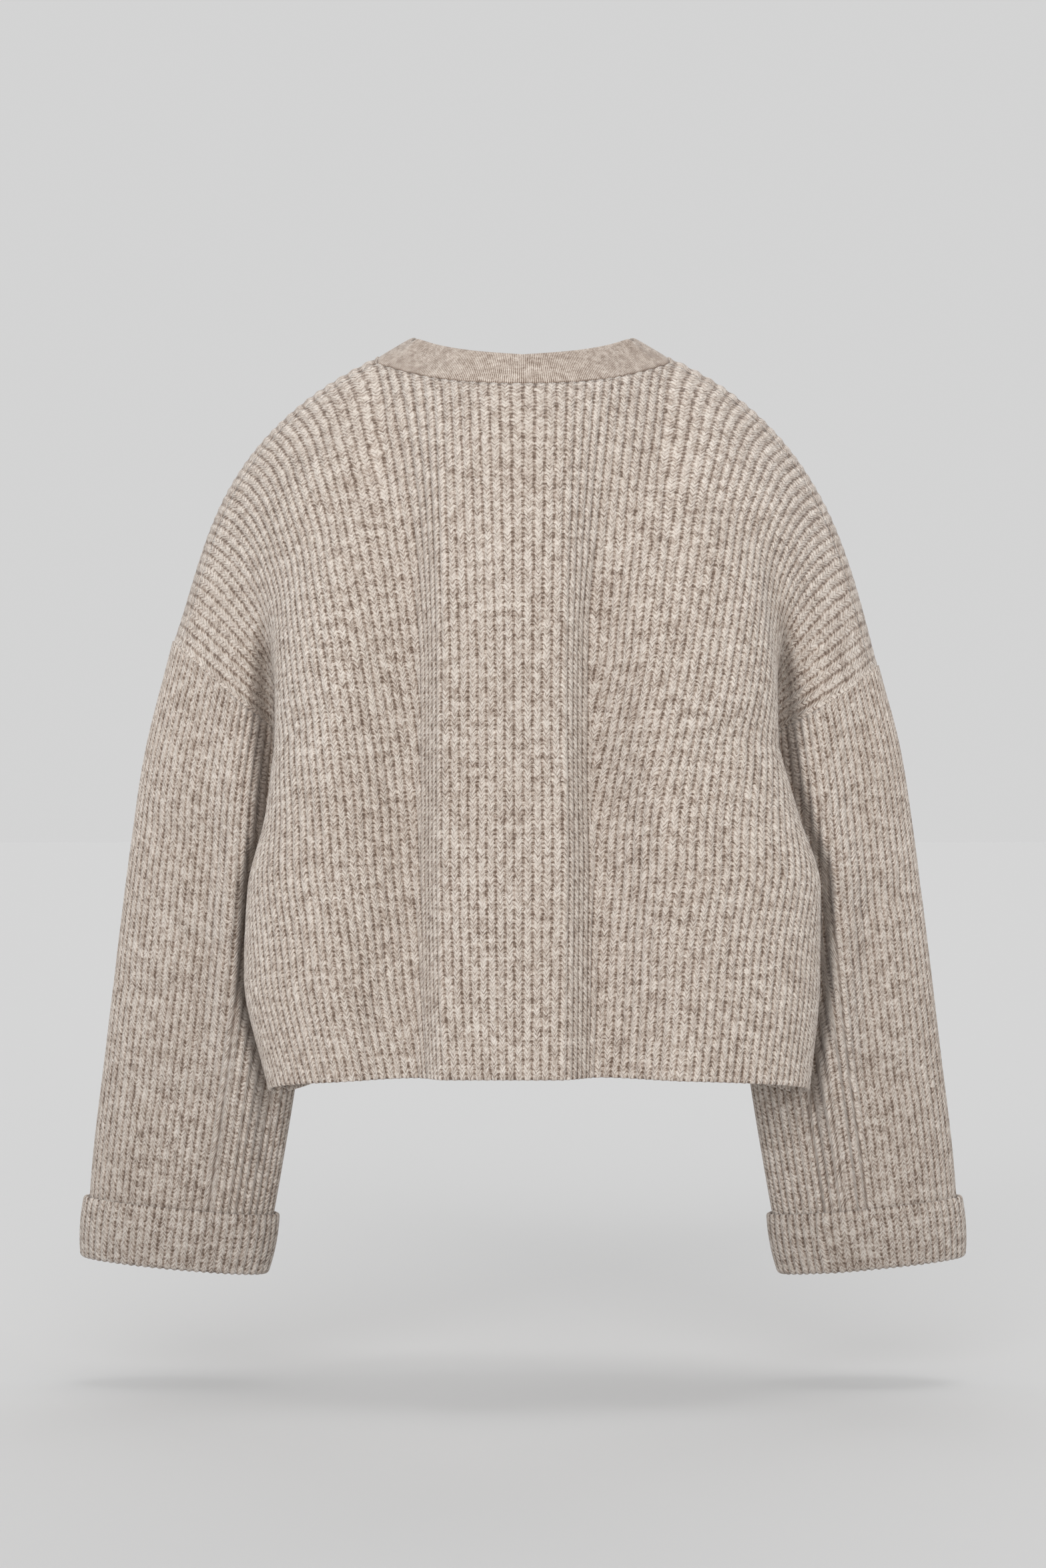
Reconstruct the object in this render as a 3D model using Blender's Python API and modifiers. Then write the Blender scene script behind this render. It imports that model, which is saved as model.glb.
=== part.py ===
"""Oversized cardigan in full-cardigan rib, filled out as if worn, with nobody in it.

Metres, +Z up. The origin is the middle of the neck, level with the two points where the neckband
crosses the shoulders, and that is where the wearer holds the garment up. The garment's back faces -Y,
its front +Y, and the wearer's right is +X.

The body is a back and two fronts with straight sides. Their rib runs up from the hem and over a
dropped shoulder, so that it lies along the slanting armhole seam. Each sleeve is a straight tube that
ends in a deep turned-up cuff, and the side seams stop at a short vent. A fine-knit band runs up one
front edge, round the neck and down the other.

A place on a panel is (wale, rise). The wale is the distance from the middle of the panel to its side,
measured on the flat cloth. The rise is 0 at the hem, UNDERARM at the underarm and 1 at the shoulder.
"""

import math
from collections import namedtuple

import bmesh
import bpy
import numpy as np
from mathutils import Vector

COLLECTION = "oversized_cardigan"

# The knit
RIB = 0.006                 # width of one rib on the flat cloth
RIBS_PER_HALF = 46          # ribs from the middle of a panel to its side
SLEEVE_RIBS = 60            # ribs round a sleeve
WALL = 0.002                # cloth between the grooves of its two faces
RELIEF = 0.0012             # height of a rib above the groove
SEAM = 0.0003               # gap between two pieces that are sewn together
HALF_PANEL = RIB * RIBS_PER_HALF
PANEL_STEP = 4              # outer columns of a panel to one inner column
SLEEVE_STEP = 4             # outer columns of a sleeve to one inner column

# The rise of a panel: the body below the underarm, then the yoke, then the roll over the shoulder
UNDERARM = 0.4
BODY_ROWS = (0.0, 0.08, 0.16, 0.24, 0.32, UNDERARM)
BACK_YOKE_ROWS = (0.50, 0.60, 0.70, 0.80, 0.90, 1.0)
FRONT_YOKE_ROWS = (0.51, 0.62, 0.73, 0.83, 0.93, 1.0)
RIDGE = 0.93                # on a front, the rise at which the cloth crosses the shoulder line
ARMHOLE_BULGE = 0.040       # how far the armhole reaches to the back and to the front
UNDERARM_EASE = 0.0016      # the body's cloth keeps this far off the sleeve where it folds under the arm
UNDERARM_DRAW = 0.7         # and is drawn back from the sleeve by this share of it
SLEEVE_EASE = 0.0005        # and the sleeve keeps this far off the body

# Sleeves and cuffs; a place along a sleeve counts its rings, with 0 at the armhole
SLEEVE_PLACES = (0.0, 1.0, 3.2, 5.44, 5.93)
CUFF_TOP = 5.44
CUFF_PROUD = 0.0044         # the cuff's face above the sleeve's grooves
CUFF_FOLD_TURN = 100.0      # the ribs of a cuff end this far round its fold, in degrees
CUFF_HOOK = 0.004           # the cuff's short leg under the sleeve's end

# Neck and band
BAND_WIDTH = 0.030
BAND_THICKNESS = 0.0028
BAND_LIFT = 0.0034          # the right band lies over the left

# The way across the band from its seam, at places counted along the seam: the hem 0, the point of the V 1,
# the shoulder 2 and the nape 3. across is outwards on both sides.
Way = namedtuple("Way", "name place across y z")
BAND_WAYS = (
    Way("hem", 0.00, -1.00, 0.00, 0.00),
    Way("below the V", 0.94, -1.00, 0.00, 0.00),
    Way("point of the V", 1.00, -0.96, 0.00, 0.28),
    Way("above the V", 1.12, -0.93, 0.03, 0.36),
    Way("chest", 1.60, -0.92, -0.16, 0.36),
    Way("collar", 1.85, -0.90, -0.10, 0.42),
    Way("shoulder", 2.00, -0.86, 0.02, 0.51),
    Way("behind the shoulder", 2.30, -0.56, 0.36, 0.75),
    Way("nape", 3.00, 0.00, 0.635, 0.77),
)
NECK_WALE = 0.111           # wale at which the shoulder seam meets the band
NECK_BACK = (0.0, -0.083, -0.0425)
NECK_BACK_LEAVE = (0.050, 0.001, 0.0)       # the handles of the back's neck seam
NECK_BACK_ARRIVE = (-0.030, -0.032, -0.013)
NECK_SIDE_X = 0.1087
NECK_SIDE_Z = -0.0176
FRONT_EDGE = 0.0155         # the front edges lie this far from the middle

# The neckline cuts each wale of a front at this share of its way from the underarm course to the shoulder
Cut = namedtuple("Cut", "name wale share")
NECKLINE = (
    Cut("point of the V", 0.0155, 0.190),
    Cut("chest", 0.045, 0.330),
    Cut("collar", 0.078, 0.510),
    Cut("neck", 0.099, 0.700),
    Cut("side", 0.108, 0.900),
    Cut("shoulder", 0.111, 1.000),
)

# Shoulder seam: it lies behind the shoulder line by this angle round a roll of this radius
SEAM_ANGLE = math.radians(34.0)
NECK_ROLL = 0.026
SLEEVE_ROLL = 0.040

# Wales at which the band has points along the neckline. From BAND_STEEP on the neckline is steep, and the
# inner face of a front keeps those columns too.
BAND_WALES = (0.030, 0.048, 0.066, 0.081, 0.093, 0.099, 0.105, 0.108)
BAND_STEEP = 4

# A course is an arc out to the panel's widest place and a tuck from there in to the side seam. The arcs'
# squareness is 2 for an ellipse, and the handles of the tuck are shares of its depth.
BACK_SQUARENESS = 2.25
FRONT_SQUARENESS = 2.2
BACK_TUCK_LEAVE = (0.0, 0.4)
FRONT_TUCK_LEAVE = (-0.08, -0.4)
TUCK_ARRIVE = 0.45

# At the vent a front's side leaves the back's this way, by the amount in the body's table
VENT_ACROSS = -0.6
VENT_FORWARD = 0.8

BUTTON_HEIGHTS = (-0.248, -0.310, -0.372, -0.434, -0.496)
BUTTON_STEPS = 14
BUTTON_GAP = 0.0003
# Half of a button's section: distance from its middle, and height above the band
BUTTON_PROFILE = (
    (0.0, 0.0030),
    (0.0064, 0.0030),
    (0.0078, 0.0038),
    (0.0092, 0.0034),
    (0.0098, 0.0018),
    (0.0086, 0.0),
    (0.0, 0.0),
)

# One row for each course of the body, from the hem up. middle and edge are heights at the middle of the
# back and at its side. The back is an arc of depth back from the middle to the wing, its widest place,
# and a tuck from there in to the side seam. wing_wale is the wale that lies on the wing.
Course = namedtuple(
    "Course",
    "name middle edge back wing_left wing_right wing_y wing_wale "
    "seam_left seam_right seam_y heading front wing_front front_y front_wale vent",
)
COURSES = (
    Course("hem", -0.533, -0.549, 0.132, 0.183, 0.206, -0.034, 0.262,
           0.180, 0.203, -0.026, 150.0, 0.112, 0.154, 0.062, 0.168, 0.012),
    Course("vent", -0.459, -0.467, 0.135, 0.200, 0.213, -0.036, 0.258,
           0.195, 0.205, -0.027, 150.0, 0.116, 0.150, 0.066, 0.168, 0.0),
    Course("waist", -0.398, -0.406, 0.138, 0.197, 0.213, -0.044, 0.244,
           0.168, 0.169, -0.015, 142.0, 0.121, 0.146, 0.072, 0.172, 0.0),
    Course("ribs", -0.345, -0.355, 0.140, 0.184, 0.197, -0.052, 0.228,
           0.147, 0.148, 0.008, 108.0, 0.125, 0.148, 0.080, 0.186, 0.0),
    Course("underarm", -0.293, -0.310, 0.140, 0.177, 0.182, -0.060, 0.216,
           0.156, 0.157, 0.022, 84.0, 0.127, 0.164, 0.086, 0.206, 0.0),
)

# One row for each wale that shapes the yoke of the back. lift is the way the cloth leaves the underarm
# course, and drop the way it leaves the shoulder or neck seam; across is outwards on both sides.
Wale = namedtuple("Wale", "name wale lift_across lift_y lift_z drop_across drop_y drop_z")
BACK_WALES = (
    Wale("middle", 0.000, 0.000, -0.006, 0.105, 0.000, -0.040, -0.052),
    Wale("neck", 0.110, 0.000, -0.004, 0.110, -0.012, -0.044, -0.030),
    Wale("blade", 0.160, 0.000, -0.002, 0.105, -0.028, -0.052, -0.022),
    Wale("wing", 0.216, -0.003, 0.000, 0.085, -0.034, -0.044, -0.022),
    Wale("tuck", 0.246, 0.004, -0.012, 0.045, -0.030, -0.036, -0.022),
    Wale("armhole", 0.276, 0.018, -0.042, 0.017, -0.020, -0.034, -0.019),
)
FRONT_WALES = (
    Wale("middle", 0.000, 0.000, 0.004, 0.100, 0.000, 0.060, 0.000),
    Wale("neck", 0.111, 0.000, 0.006, 0.098, 0.000, 0.052, 0.000),
    Wale("blade", 0.160, 0.000, 0.008, 0.098, 0.000, 0.054, 0.000),
    Wale("wing", 0.216, -0.002, 0.004, 0.080, 0.000, 0.048, 0.000),
    Wale("tuck", 0.246, 0.004, 0.010, 0.045, 0.000, 0.044, 0.000),
    Wale("armhole", 0.276, 0.018, 0.040, 0.017, 0.000, 0.042, 0.000),
)

# Each side's shoulder line runs from the neck to the armhole top as one curve with these end slopes
Shoulder = namedtuple("Shoulder", "top_x top_z neck_reach neck_slope top_reach top_slope")
SHOULDERS = {
    -1: Shoulder(0.256, -0.222, 0.132, 26.0, 0.070, 70.0),
    1: Shoulder(0.260, -0.240, 0.128, 24.0, 0.066, 74.0),
}
SHOULDER_TOP_Y = 0.020

# One row for each ring of a sleeve below the armhole: the outer and inner ends of its width
Ring = namedtuple("Ring", "name outer_x outer_z inner_x inner_z y half_depth")
RINGS = (
    Ring("upper arm", 0.2750, -0.300, 0.1590, -0.366, 0.012, 0.040),
    Ring("elbow top", 0.2860, -0.367, 0.1580, -0.422, 0.018, 0.038),
    Ring("elbow", 0.2960, -0.440, 0.1605, -0.477, 0.025, 0.036),
    Ring("forearm", 0.3060, -0.520, 0.1670, -0.537, 0.030, 0.035),
    Ring("wrist", 0.3160, -0.600, 0.1795, -0.613, 0.035, 0.034),
    Ring("end", 0.3215, -0.672, 0.1925, -0.684, 0.038, 0.034),
)

# Folds: the middle of the back stands out between two soft troughs, and each front has a shallow one.
# A trough sinks from nothing at top to its depth at full.
Fold = namedtuple("Fold", "name trough inner_wall outer_wall depth top full")
BACK_FOLDS = (
    Fold("left trough", -0.078, -0.050, -0.116, 0.015, -0.110, -0.330),
    Fold("right trough", 0.052, 0.026, 0.090, 0.015, -0.110, -0.330),
)
FRONT_FOLDS = (
    Fold("left trough", -0.098, -0.062, -0.134, 0.009, -0.240, -0.460),
    Fold("right trough", 0.086, 0.054, 0.126, 0.010, -0.230, -0.440),
)


def vector(*values):
    """A point or direction as an array."""
    return np.array(values, dtype=float)


def smooth(value):
    """0 to 1 with level ends."""
    value = np.clip(value, 0.0, 1.0)
    return value * value * (3.0 - 2.0 * value)


def bezier(start, leave, arrive, end, t):
    """Cubic curve from start to end, with its two handle points."""
    t = np.asarray(t)[..., None]
    u = 1.0 - t
    return u**3 * start + 3 * u * u * t * leave + 3 * u * t * t * arrive + t**3 * end


def column(rows, key, value, name):
    """A table's column read between its rows: name at the given value of key, on a smooth curve."""
    table = sorted(rows, key=lambda row: getattr(row, key))
    x = np.array([getattr(row, key) for row in table])
    y = np.array([getattr(row, name) for row in table])
    slope = np.diff(y) / np.diff(x)
    tangent = np.zeros(len(x))
    rising = slope[:-1] * slope[1:] > 0.0
    tangent[1:-1][rising] = 2.0 * (slope[:-1] * slope[1:])[rising] / (slope[:-1] + slope[1:])[rising]
    tangent[0] = slope[0]
    tangent[-1] = slope[-1]
    value = np.clip(value, x[0], x[-1])
    i = np.clip(np.searchsorted(x, value) - 1, 0, len(x) - 2)
    step = x[i + 1] - x[i]
    t = (value - x[i]) / step
    return (
        (1 + 2 * t) * (1 - t) ** 2 * y[i]
        + t * (1 - t) ** 2 * step * tangent[i]
        + t * t * (3 - 2 * t) * y[i + 1]
        + t * t * (t - 1) * step * tangent[i + 1]
    )


def along(points, fractions):
    """Points at the given fractions of a polyline's length."""
    reach = length_share(points)
    return np.stack([np.interp(fractions, reach, points[:, k]) for k in range(points.shape[1])], axis=-1)


def length_share(points):
    """How far along a polyline each of its points lies, from 0 to 1."""
    reach = np.concatenate(([0.0], np.cumsum(np.linalg.norm(np.diff(points, axis=0), axis=1))))
    return reach / reach[-1]


def fold_depth(folds, x, z):
    """How far the troughs sink below the smooth form."""
    depth = np.zeros_like(x)
    for fold in folds:
        inner = smooth((x - fold.inner_wall) / (fold.trough - fold.inner_wall))
        outer = smooth((x - fold.outer_wall) / (fold.trough - fold.outer_wall))
        strength = smooth((fold.top - z) / (fold.top - fold.full))
        depth = np.maximum(depth, fold.depth * strength * np.minimum(inner, outer))
    return depth


# --- The outline over the shoulders ---------------------------------------------------------------


def shoulder_line(side, wales):
    """Points of the shoulder line, and the outward directions across it, at the given wales."""
    shoulder = SHOULDERS[side]
    neck = vector(NECK_SIDE_X, 0.0, NECK_SIDE_Z)
    top = vector(shoulder.top_x, SHOULDER_TOP_Y, shoulder.top_z)
    slope = math.radians(shoulder.neck_slope)
    steep = math.radians(shoulder.top_slope)
    leave = neck + shoulder.neck_reach * vector(math.cos(slope), 0.02, -math.sin(slope))
    arrive = top + shoulder.top_reach * vector(-math.cos(steep), -0.05, math.sin(steep))
    curve = bezier(neck, leave, arrive, top, np.linspace(0.0, 1.0, 121))
    share = (np.asarray(wales) - NECK_WALE) / (HALF_PANEL - NECK_WALE)
    on_curve = np.clip(share, 0.0, 1.0)
    points = along(curve, on_curve)
    ahead = along(curve, on_curve * 0.98 + 0.02) - along(curve, on_curve * 0.98)
    ahead[:, 1] = 0.0
    ahead /= np.linalg.norm(ahead, axis=1)[:, None]
    first = (curve[1] - curve[0]) / np.linalg.norm(curve[1] - curve[0])
    reach = (NECK_SIDE_X - FRONT_EDGE) / (NECK_WALE - FRONT_EDGE) / first[0]
    points = points + np.minimum(wales - NECK_WALE, 0.0)[:, None] * reach * first
    outward = np.stack([-ahead[:, 2], np.zeros(len(ahead)), ahead[:, 0]], axis=1)
    turn = smooth((share - 0.65) / 0.35)[:, None]
    outward = outward * (1.0 - turn) + armhole_axes(side)[0] * turn
    outward /= np.linalg.norm(outward, axis=1)[:, None]
    return points, outward, share


def shoulder_roll(side, wales, turn):
    """Points on the roll over the shoulder, turned back by the given share of the seam's angle."""
    points, outward, share = shoulder_line(side, wales)
    radius = NECK_ROLL + (SLEEVE_ROLL - NECK_ROLL) * smooth(share)
    angle = SEAM_ANGLE * np.asarray(turn)
    sink = (radius * (1.0 - np.cos(angle)))[:, None]
    back = (radius * np.sin(angle))[:, None]
    return points - sink * outward + back * vector(0.0, -1.0, 0.0)


# --- The armhole ----------------------------------------------------------------------------------


def underarm_point(side):
    """The underarm, where the side seam meets the armhole; x is positive on both sides."""
    course = COURSES[-1]
    seam = course.seam_left if side < 0 else course.seam_right
    return vector(seam, course.seam_y, course.edge)


def armhole_axes(side):
    """The armhole's plane: its direction from underarm to top, and its way out into the sleeve."""
    shoulder = SHOULDERS[side]
    low = underarm_point(side)
    up = vector(shoulder.top_x - low[0], 0.0, shoulder.top_z - low[2])
    up /= np.linalg.norm(up)
    return up, vector(up[2], 0.0, -up[0])


# --- The panels' form, for the side x > 0 ----------------------------------------------------------


def course_at(rise):
    """Every column of the body's table at a rise from the hem (0) to the underarm."""
    low, high = COURSES[0].middle, COURSES[-1].middle
    middle = low + (high - low) * rise / UNDERARM
    return {name: column(COURSES, "middle", middle, name) for name in Course._fields if name != "name"}


def body_section(front, side, wales, rise):
    """Points of one course of the body between the hem and the underarm."""
    c = course_at(rise)
    wing_x = c["wing_left"] if side < 0 else c["wing_right"]
    seam_x = c["seam_left"] if side < 0 else c["seam_right"]
    seam = vector(seam_x, c["seam_y"])
    heading = math.radians(c["heading"])
    ahead = vector(math.cos(heading), math.sin(heading))
    height = c["middle"] + (c["edge"] - c["middle"]) * (wales / HALF_PANEL) ** 3
    first = 0.0
    if front:
        wing = vector(c["wing_front"], c["front_y"])
        depth, wing_wale, way = c["front"] - c["front_y"], c["front_wale"], 1.0
        power = 2.0 / FRONT_SQUARENESS
        seam = seam + vector(VENT_ACROSS, VENT_FORWARD) * c["vent"]
        first = math.asin((FRONT_EDGE / wing[0]) ** (1.0 / power))
        wing_leave = wing + vector(*FRONT_TUCK_LEAVE) * (wing[1] - seam[1])
        seam_arrive = seam + TUCK_ARRIVE * abs(wing[1] - seam[1]) * ahead
    else:
        wing = vector(wing_x, c["wing_y"])
        depth, wing_wale, way = c["back"] + c["wing_y"], c["wing_wale"], -1.0
        power = 2.0 / BACK_SQUARENESS
        wing_leave = wing + vector(*BACK_TUCK_LEAVE) * (seam[1] - wing[1])
        seam_arrive = seam - TUCK_ARRIVE * abs(seam[1] - wing[1]) * ahead
    turn = np.linspace(first, math.pi / 2, 61)
    arc = np.stack([wing[0] * np.sin(turn) ** power, wing[1] + way * depth * np.cos(turn) ** power], axis=1)
    folds = FRONT_FOLDS if front else BACK_FOLDS
    arc[:, 1] -= way * fold_depth(folds, side * arc[:, 0], c["middle"])
    tuck = bezier(wing, wing_leave, seam_arrive, seam, np.linspace(0.0, 1.0, 41))
    inner_wale = FRONT_EDGE if front else 0.0
    on_arc = along(arc, np.clip((wales - inner_wale) / (wing_wale - inner_wale), 0.0, 1.0))
    on_tuck = along(tuck, np.clip((wales - wing_wale) / (HALF_PANEL - wing_wale), 0.0, 1.0))
    plan = np.where((wales <= wing_wale)[:, None], on_arc, on_tuck)
    return np.column_stack([plan, height])


def handles(rows, wales):
    """The yoke's two handles at the given wales."""
    read = {name: column(rows, "wale", wales, name) for name in Wale._fields[2:]}
    lift = np.stack([read["lift_across"], read["lift_y"], read["lift_z"]], axis=1)
    drop = np.stack([read["drop_across"], read["drop_y"], read["drop_z"]], axis=1)
    return lift, drop


def neck_seam_back(side, wales):
    """Where the back meets the neckband."""
    end = shoulder_roll(side, vector(NECK_WALE), 1.0)[0]
    middle = vector(*NECK_BACK)
    leave = middle + vector(*NECK_BACK_LEAVE)
    arrive = end + vector(*NECK_BACK_ARRIVE)
    return bezier(middle, leave, arrive, end, np.clip(wales / NECK_WALE, 0.0, 1.0))


def back_yoke(side, wales, share):
    """The back above the underarm course; share runs from 0 there to 1 at the seams."""
    foot = body_section(False, side, wales, UNDERARM)
    lift, drop = handles(BACK_WALES, wales)
    neck = (wales < NECK_WALE)[:, None]
    head = np.where(neck, neck_seam_back(side, wales), shoulder_roll(side, wales, 1.0))
    return bezier(foot, foot + lift, head + drop, head, share)


def front_yoke(side, wales, share):
    """A front above the underarm course: up to the shoulder line, then back over it to the seam.

    The neckline cuts the inner wales short.
    """
    foot = body_section(True, side, wales, UNDERARM)
    lift, drop = handles(FRONT_WALES, wales)
    share = share * column(NECKLINE, "wale", wales, "share")
    ridge_share = (RIDGE - UNDERARM) / (1.0 - UNDERARM)
    turn = np.maximum(share - ridge_share, 0.0) / (1.0 - ridge_share)
    ridge = shoulder_roll(side, wales, 0.0)
    climb = bezier(foot, foot + lift, ridge + drop, ridge, np.minimum(share / ridge_share, 1.0))
    return climb + shoulder_roll(side, wales, turn) - ridge


def panel_points(front, side, wales, rises):
    """Points of a panel's form at paired wales and rises; wales are positive, x takes the side's sign."""
    wales = np.asarray(wales, dtype=float)
    rises = np.asarray(rises, dtype=float)
    points = np.zeros((len(wales), 3))
    for rise in np.unique(rises):
        row = rises == rise
        if rise <= UNDERARM:
            points[row] = body_section(front, side, wales[row], rise)
        else:
            share = np.full(row.sum(), (rise - UNDERARM) / (1.0 - UNDERARM))
            yoke = front_yoke if front else back_yoke
            points[row] = yoke(side, wales[row], share)
    points[:, 0] *= side
    return points


def panel_grid(front, wales, rises):
    """A panel's form and its outward directions on a grid of signed wales and rises."""
    step = 0.0004
    shape = (len(rises), len(wales), 3)
    w, r = np.meshgrid(wales, rises)
    w, r = w.ravel(), r.ravel()

    def at(dw, dr):
        wale = np.clip(w + dw, -HALF_PANEL, HALF_PANEL)
        rise = np.clip(r + dr, 0.0, 1.0)
        points = np.zeros((len(w), 3))
        for side in (-1, 1):
            mine = (wale < 0.0) if side < 0 else (wale >= 0.0)
            if mine.any():
                points[mine] = panel_points(front, side, np.abs(wale[mine]), rise[mine])
        return points

    across = at(step, 0.0) - at(-step, 0.0)
    up = at(0.0, 0.004) - at(0.0, -0.004)
    normal = np.cross(across, up)
    normal /= np.linalg.norm(normal, axis=1)[:, None]
    if front:
        normal = -normal
    return at(0.0, 0.0).reshape(shape), normal.reshape(shape)


# --- Walls ----------------------------------------------------------------------------------------


def stitch_rows(mesh, first, second, first_at, second_at):
    """Triangles between two rows of vertices with different counts, matched by their places."""
    i = j = 0
    last_i, last_j = len(first) - 1, len(second) - 1
    while i < last_i or j < last_j:
        ready = i < last_i and j < last_j and first_at[i] + first_at[i + 1] <= second_at[j] + second_at[j + 1]
        if j == last_j or ready:
            mesh.faces.new((first[i], first[i + 1], second[j]))
            i += 1
        else:
            mesh.faces.new((first[i], second[j + 1], second[j]))
            j += 1


def wall_mesh(name, outer, inner, outer_at, inner_at, closed):
    """A cloth wall between a fine grid of outer points and a plainer grid of inner ones.

    outer_at and inner_at give the place of each grid's columns. A closed wall runs all round.
    """
    mesh = bmesh.new()
    grids = [[[mesh.verts.new(point) for point in row] for row in grid] for grid in (outer, inner)]
    if closed:
        grids = [[row + row[:1] for row in grid] for grid in grids]
        outer_at, inner_at = np.append(outer_at, 1.0), np.append(inner_at, 1.0)
    for grid in grids:
        for low, high in zip(grid[:-1], grid[1:]):
            for k in range(len(low) - 1):
                mesh.faces.new((low[k], low[k + 1], high[k + 1], high[k]))
    for end in (0, -1):
        stitch_rows(mesh, grids[0][end], grids[1][end], outer_at, inner_at)
        if not closed:
            for row in range(len(outer) - 1):
                low, high = grids[0][row][end], grids[0][row + 1][end]
                mesh.faces.new((low, high, grids[1][row + 1][end]))
                mesh.faces.new((low, grids[1][row + 1][end], grids[1][row][end]))
    bmesh.ops.recalc_face_normals(mesh, faces=mesh.faces)
    data = bpy.data.meshes.new(name)
    mesh.to_mesh(data)
    mesh.free()
    return data


def rib_height(wales):
    """Height of the ribs at each wale: level grooves between rounded ribs."""
    return RELIEF * np.abs(np.sin(math.pi * np.asarray(wales) / RIB))


def side_seam_frames(side, rises):
    """Directions at the side seam: forward along a course, and outwards through the cloth."""
    heading = np.radians([course_at(rise)["heading"] for rise in rises])
    ahead = np.stack([side * np.cos(heading), np.sin(heading), np.zeros(len(rises))], axis=1)
    outward = np.stack([side * np.sin(heading), -np.cos(heading), np.zeros(len(rises))], axis=1)
    return ahead, outward


def shoulder_seam_frames(side, wales):
    """Directions at the shoulder seam: back over the roll, and outwards through the cloth."""
    outward = shoulder_line(side, wales)[1] * vector(side, 1.0, 1.0)
    back = vector(0.0, -1.0, 0.0)
    away = math.cos(SEAM_ANGLE) * back - math.sin(SEAM_ANGLE) * outward
    through = math.cos(SEAM_ANGLE) * outward + math.sin(SEAM_ANGLE) * back
    return away, through


def armhole_frames(side, points):
    """At points of the armhole: outwards in its plane, and how near each lies to the underarm."""
    up, out = armhole_axes(side)
    low = underarm_point(side)
    top = vector(SHOULDERS[side].top_x, low[1], SHOULDERS[side].top_z)
    reach = np.linalg.norm(top - low) / 2.0
    place = points * vector(side, 1.0, 1.0) - (low + top) / 2.0
    height = place @ up
    outward = (height / reach**2)[:, None] * up
    outward[:, 1] += place[:, 1] / ARMHOLE_BULGE**2
    outward /= np.linalg.norm(outward, axis=1)[:, None]
    near = smooth((-height / reach - 0.05) / 0.5)
    return outward * vector(side, 1.0, 1.0), near, out * vector(side, 1.0, 1.0)


def set_edges(front, side, wales, rises, form, normal):
    """Move a panel's sewn edges half a seam back and give both sides of a seam one direction."""
    way = 1.0 if front else -1.0
    last = int(np.argmax(wales * side))
    body = rises <= UNDERARM
    ahead, outward = side_seam_frames(side, rises[body])
    form[body, last] += way * ahead * SEAM / 2.0
    normal[body, last] = outward
    mine = wales * side >= NECK_WALE - RIB / 4.0
    away, through = shoulder_seam_frames(side, np.abs(wales[mine]))
    form[-1, mine] -= way * away * SEAM / 2.0
    normal[-1, mine] = through
    yoke = ~body
    outward, near, out = armhole_frames(side, form[yoke, last])
    form[yoke, last] += UNDERARM_EASE * near[:, None] * (outward - UNDERARM_DRAW * out) - SEAM * out
    near = near[:, None]
    blended = normal[yoke, last] * near + outward * (1.0 - near)
    normal[yoke, last] = blended / np.linalg.norm(blended, axis=1)[:, None]


def inner_columns(front, wales):
    """The columns that the plain inner face keeps, counted from the side seam."""
    steps = np.round((HALF_PANEL - np.abs(wales)) / (RIB / 2.0)).astype(int)
    keep = steps % PANEL_STEP == 0
    keep[[0, -1]] = True
    if front:
        steep = np.array(BAND_WALES[BAND_STEEP:] + (NECK_WALE,))
        keep |= np.abs(np.abs(wales)[:, None] - steep).min(axis=1) < RIB / 8.0
    return np.flatnonzero(keep)


def make_panel(name, front, wales, material):
    """A back or a front as a wall with raised ribs."""
    rises = np.array(BODY_ROWS + (FRONT_YOKE_ROWS if front else BACK_YOKE_ROWS))
    form, normal = panel_grid(front, wales, rises)
    for side in (-1, 1):
        if (wales * side > NECK_WALE).any():
            set_edges(front, side, wales, rises, form, normal)
    outer = form + normal * rib_height(wales)[None, :, None]
    columns = inner_columns(front, wales)
    inner = form[:, columns] - normal[:, columns] * WALL
    places = np.abs(wales) if front else wales
    add_object(name, wall_mesh(name, outer, inner, places, places[columns], False), material)


# --- Sleeves and cuffs ----------------------------------------------------------------------------


def armhole_loop(side):
    """The armhole as the panels' rows give it: from the underarm up the back and down the front."""
    back_rises = np.array((UNDERARM,) + BACK_YOKE_ROWS)
    front_rises = np.array((UNDERARM,) + FRONT_YOKE_ROWS)
    back = panel_points(False, side, np.full(len(back_rises), HALF_PANEL), back_rises)
    front = panel_points(True, side, np.full(len(front_rises), HALF_PANEL), front_rises)
    return np.concatenate([back, front[-2::-1]])


def ring_points(side, ring, shares):
    """Points of one sleeve ring, from its inner end round the back to its outer end and on."""
    outer = vector(ring.outer_x, ring.y, ring.outer_z)
    inner = vector(ring.inner_x, ring.y, ring.inner_z)
    turn = np.linspace(0.0, 2.0 * math.pi, 121)[:, None]
    half = (outer - inner) / 2.0
    points = (outer + inner) / 2.0 - np.cos(turn) * half - np.sin(turn) * vector(0.0, ring.half_depth, 0.0)
    return along(points, shares) * vector(side, 1.0, 1.0)


def sleeve_points(side, shares, place):
    """Points round the sleeve; place counts rings, with 0 at the armhole."""
    loop = along(armhole_loop(side), shares)
    _, near, out = armhole_frames(side, loop)
    knots = [loop + (SEAM + SLEEVE_EASE * near[:, None]) * out]
    knots += [ring_points(side, ring, shares) for ring in RINGS]
    low = min(int(place), len(knots) - 2)
    t = place - low
    before = knots[low - 1] if low > 0 else 2.0 * knots[low] - knots[low + 1]
    after = knots[low + 2] if low + 2 < len(knots) else 2.0 * knots[low + 1] - knots[low]
    leave = knots[low] + (knots[low + 1] - before) / 6.0
    arrive = knots[low + 1] - (after - knots[low]) / 6.0
    return bezier(knots[low], leave, arrive, knots[low + 1], np.full(len(shares), t))


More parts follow.
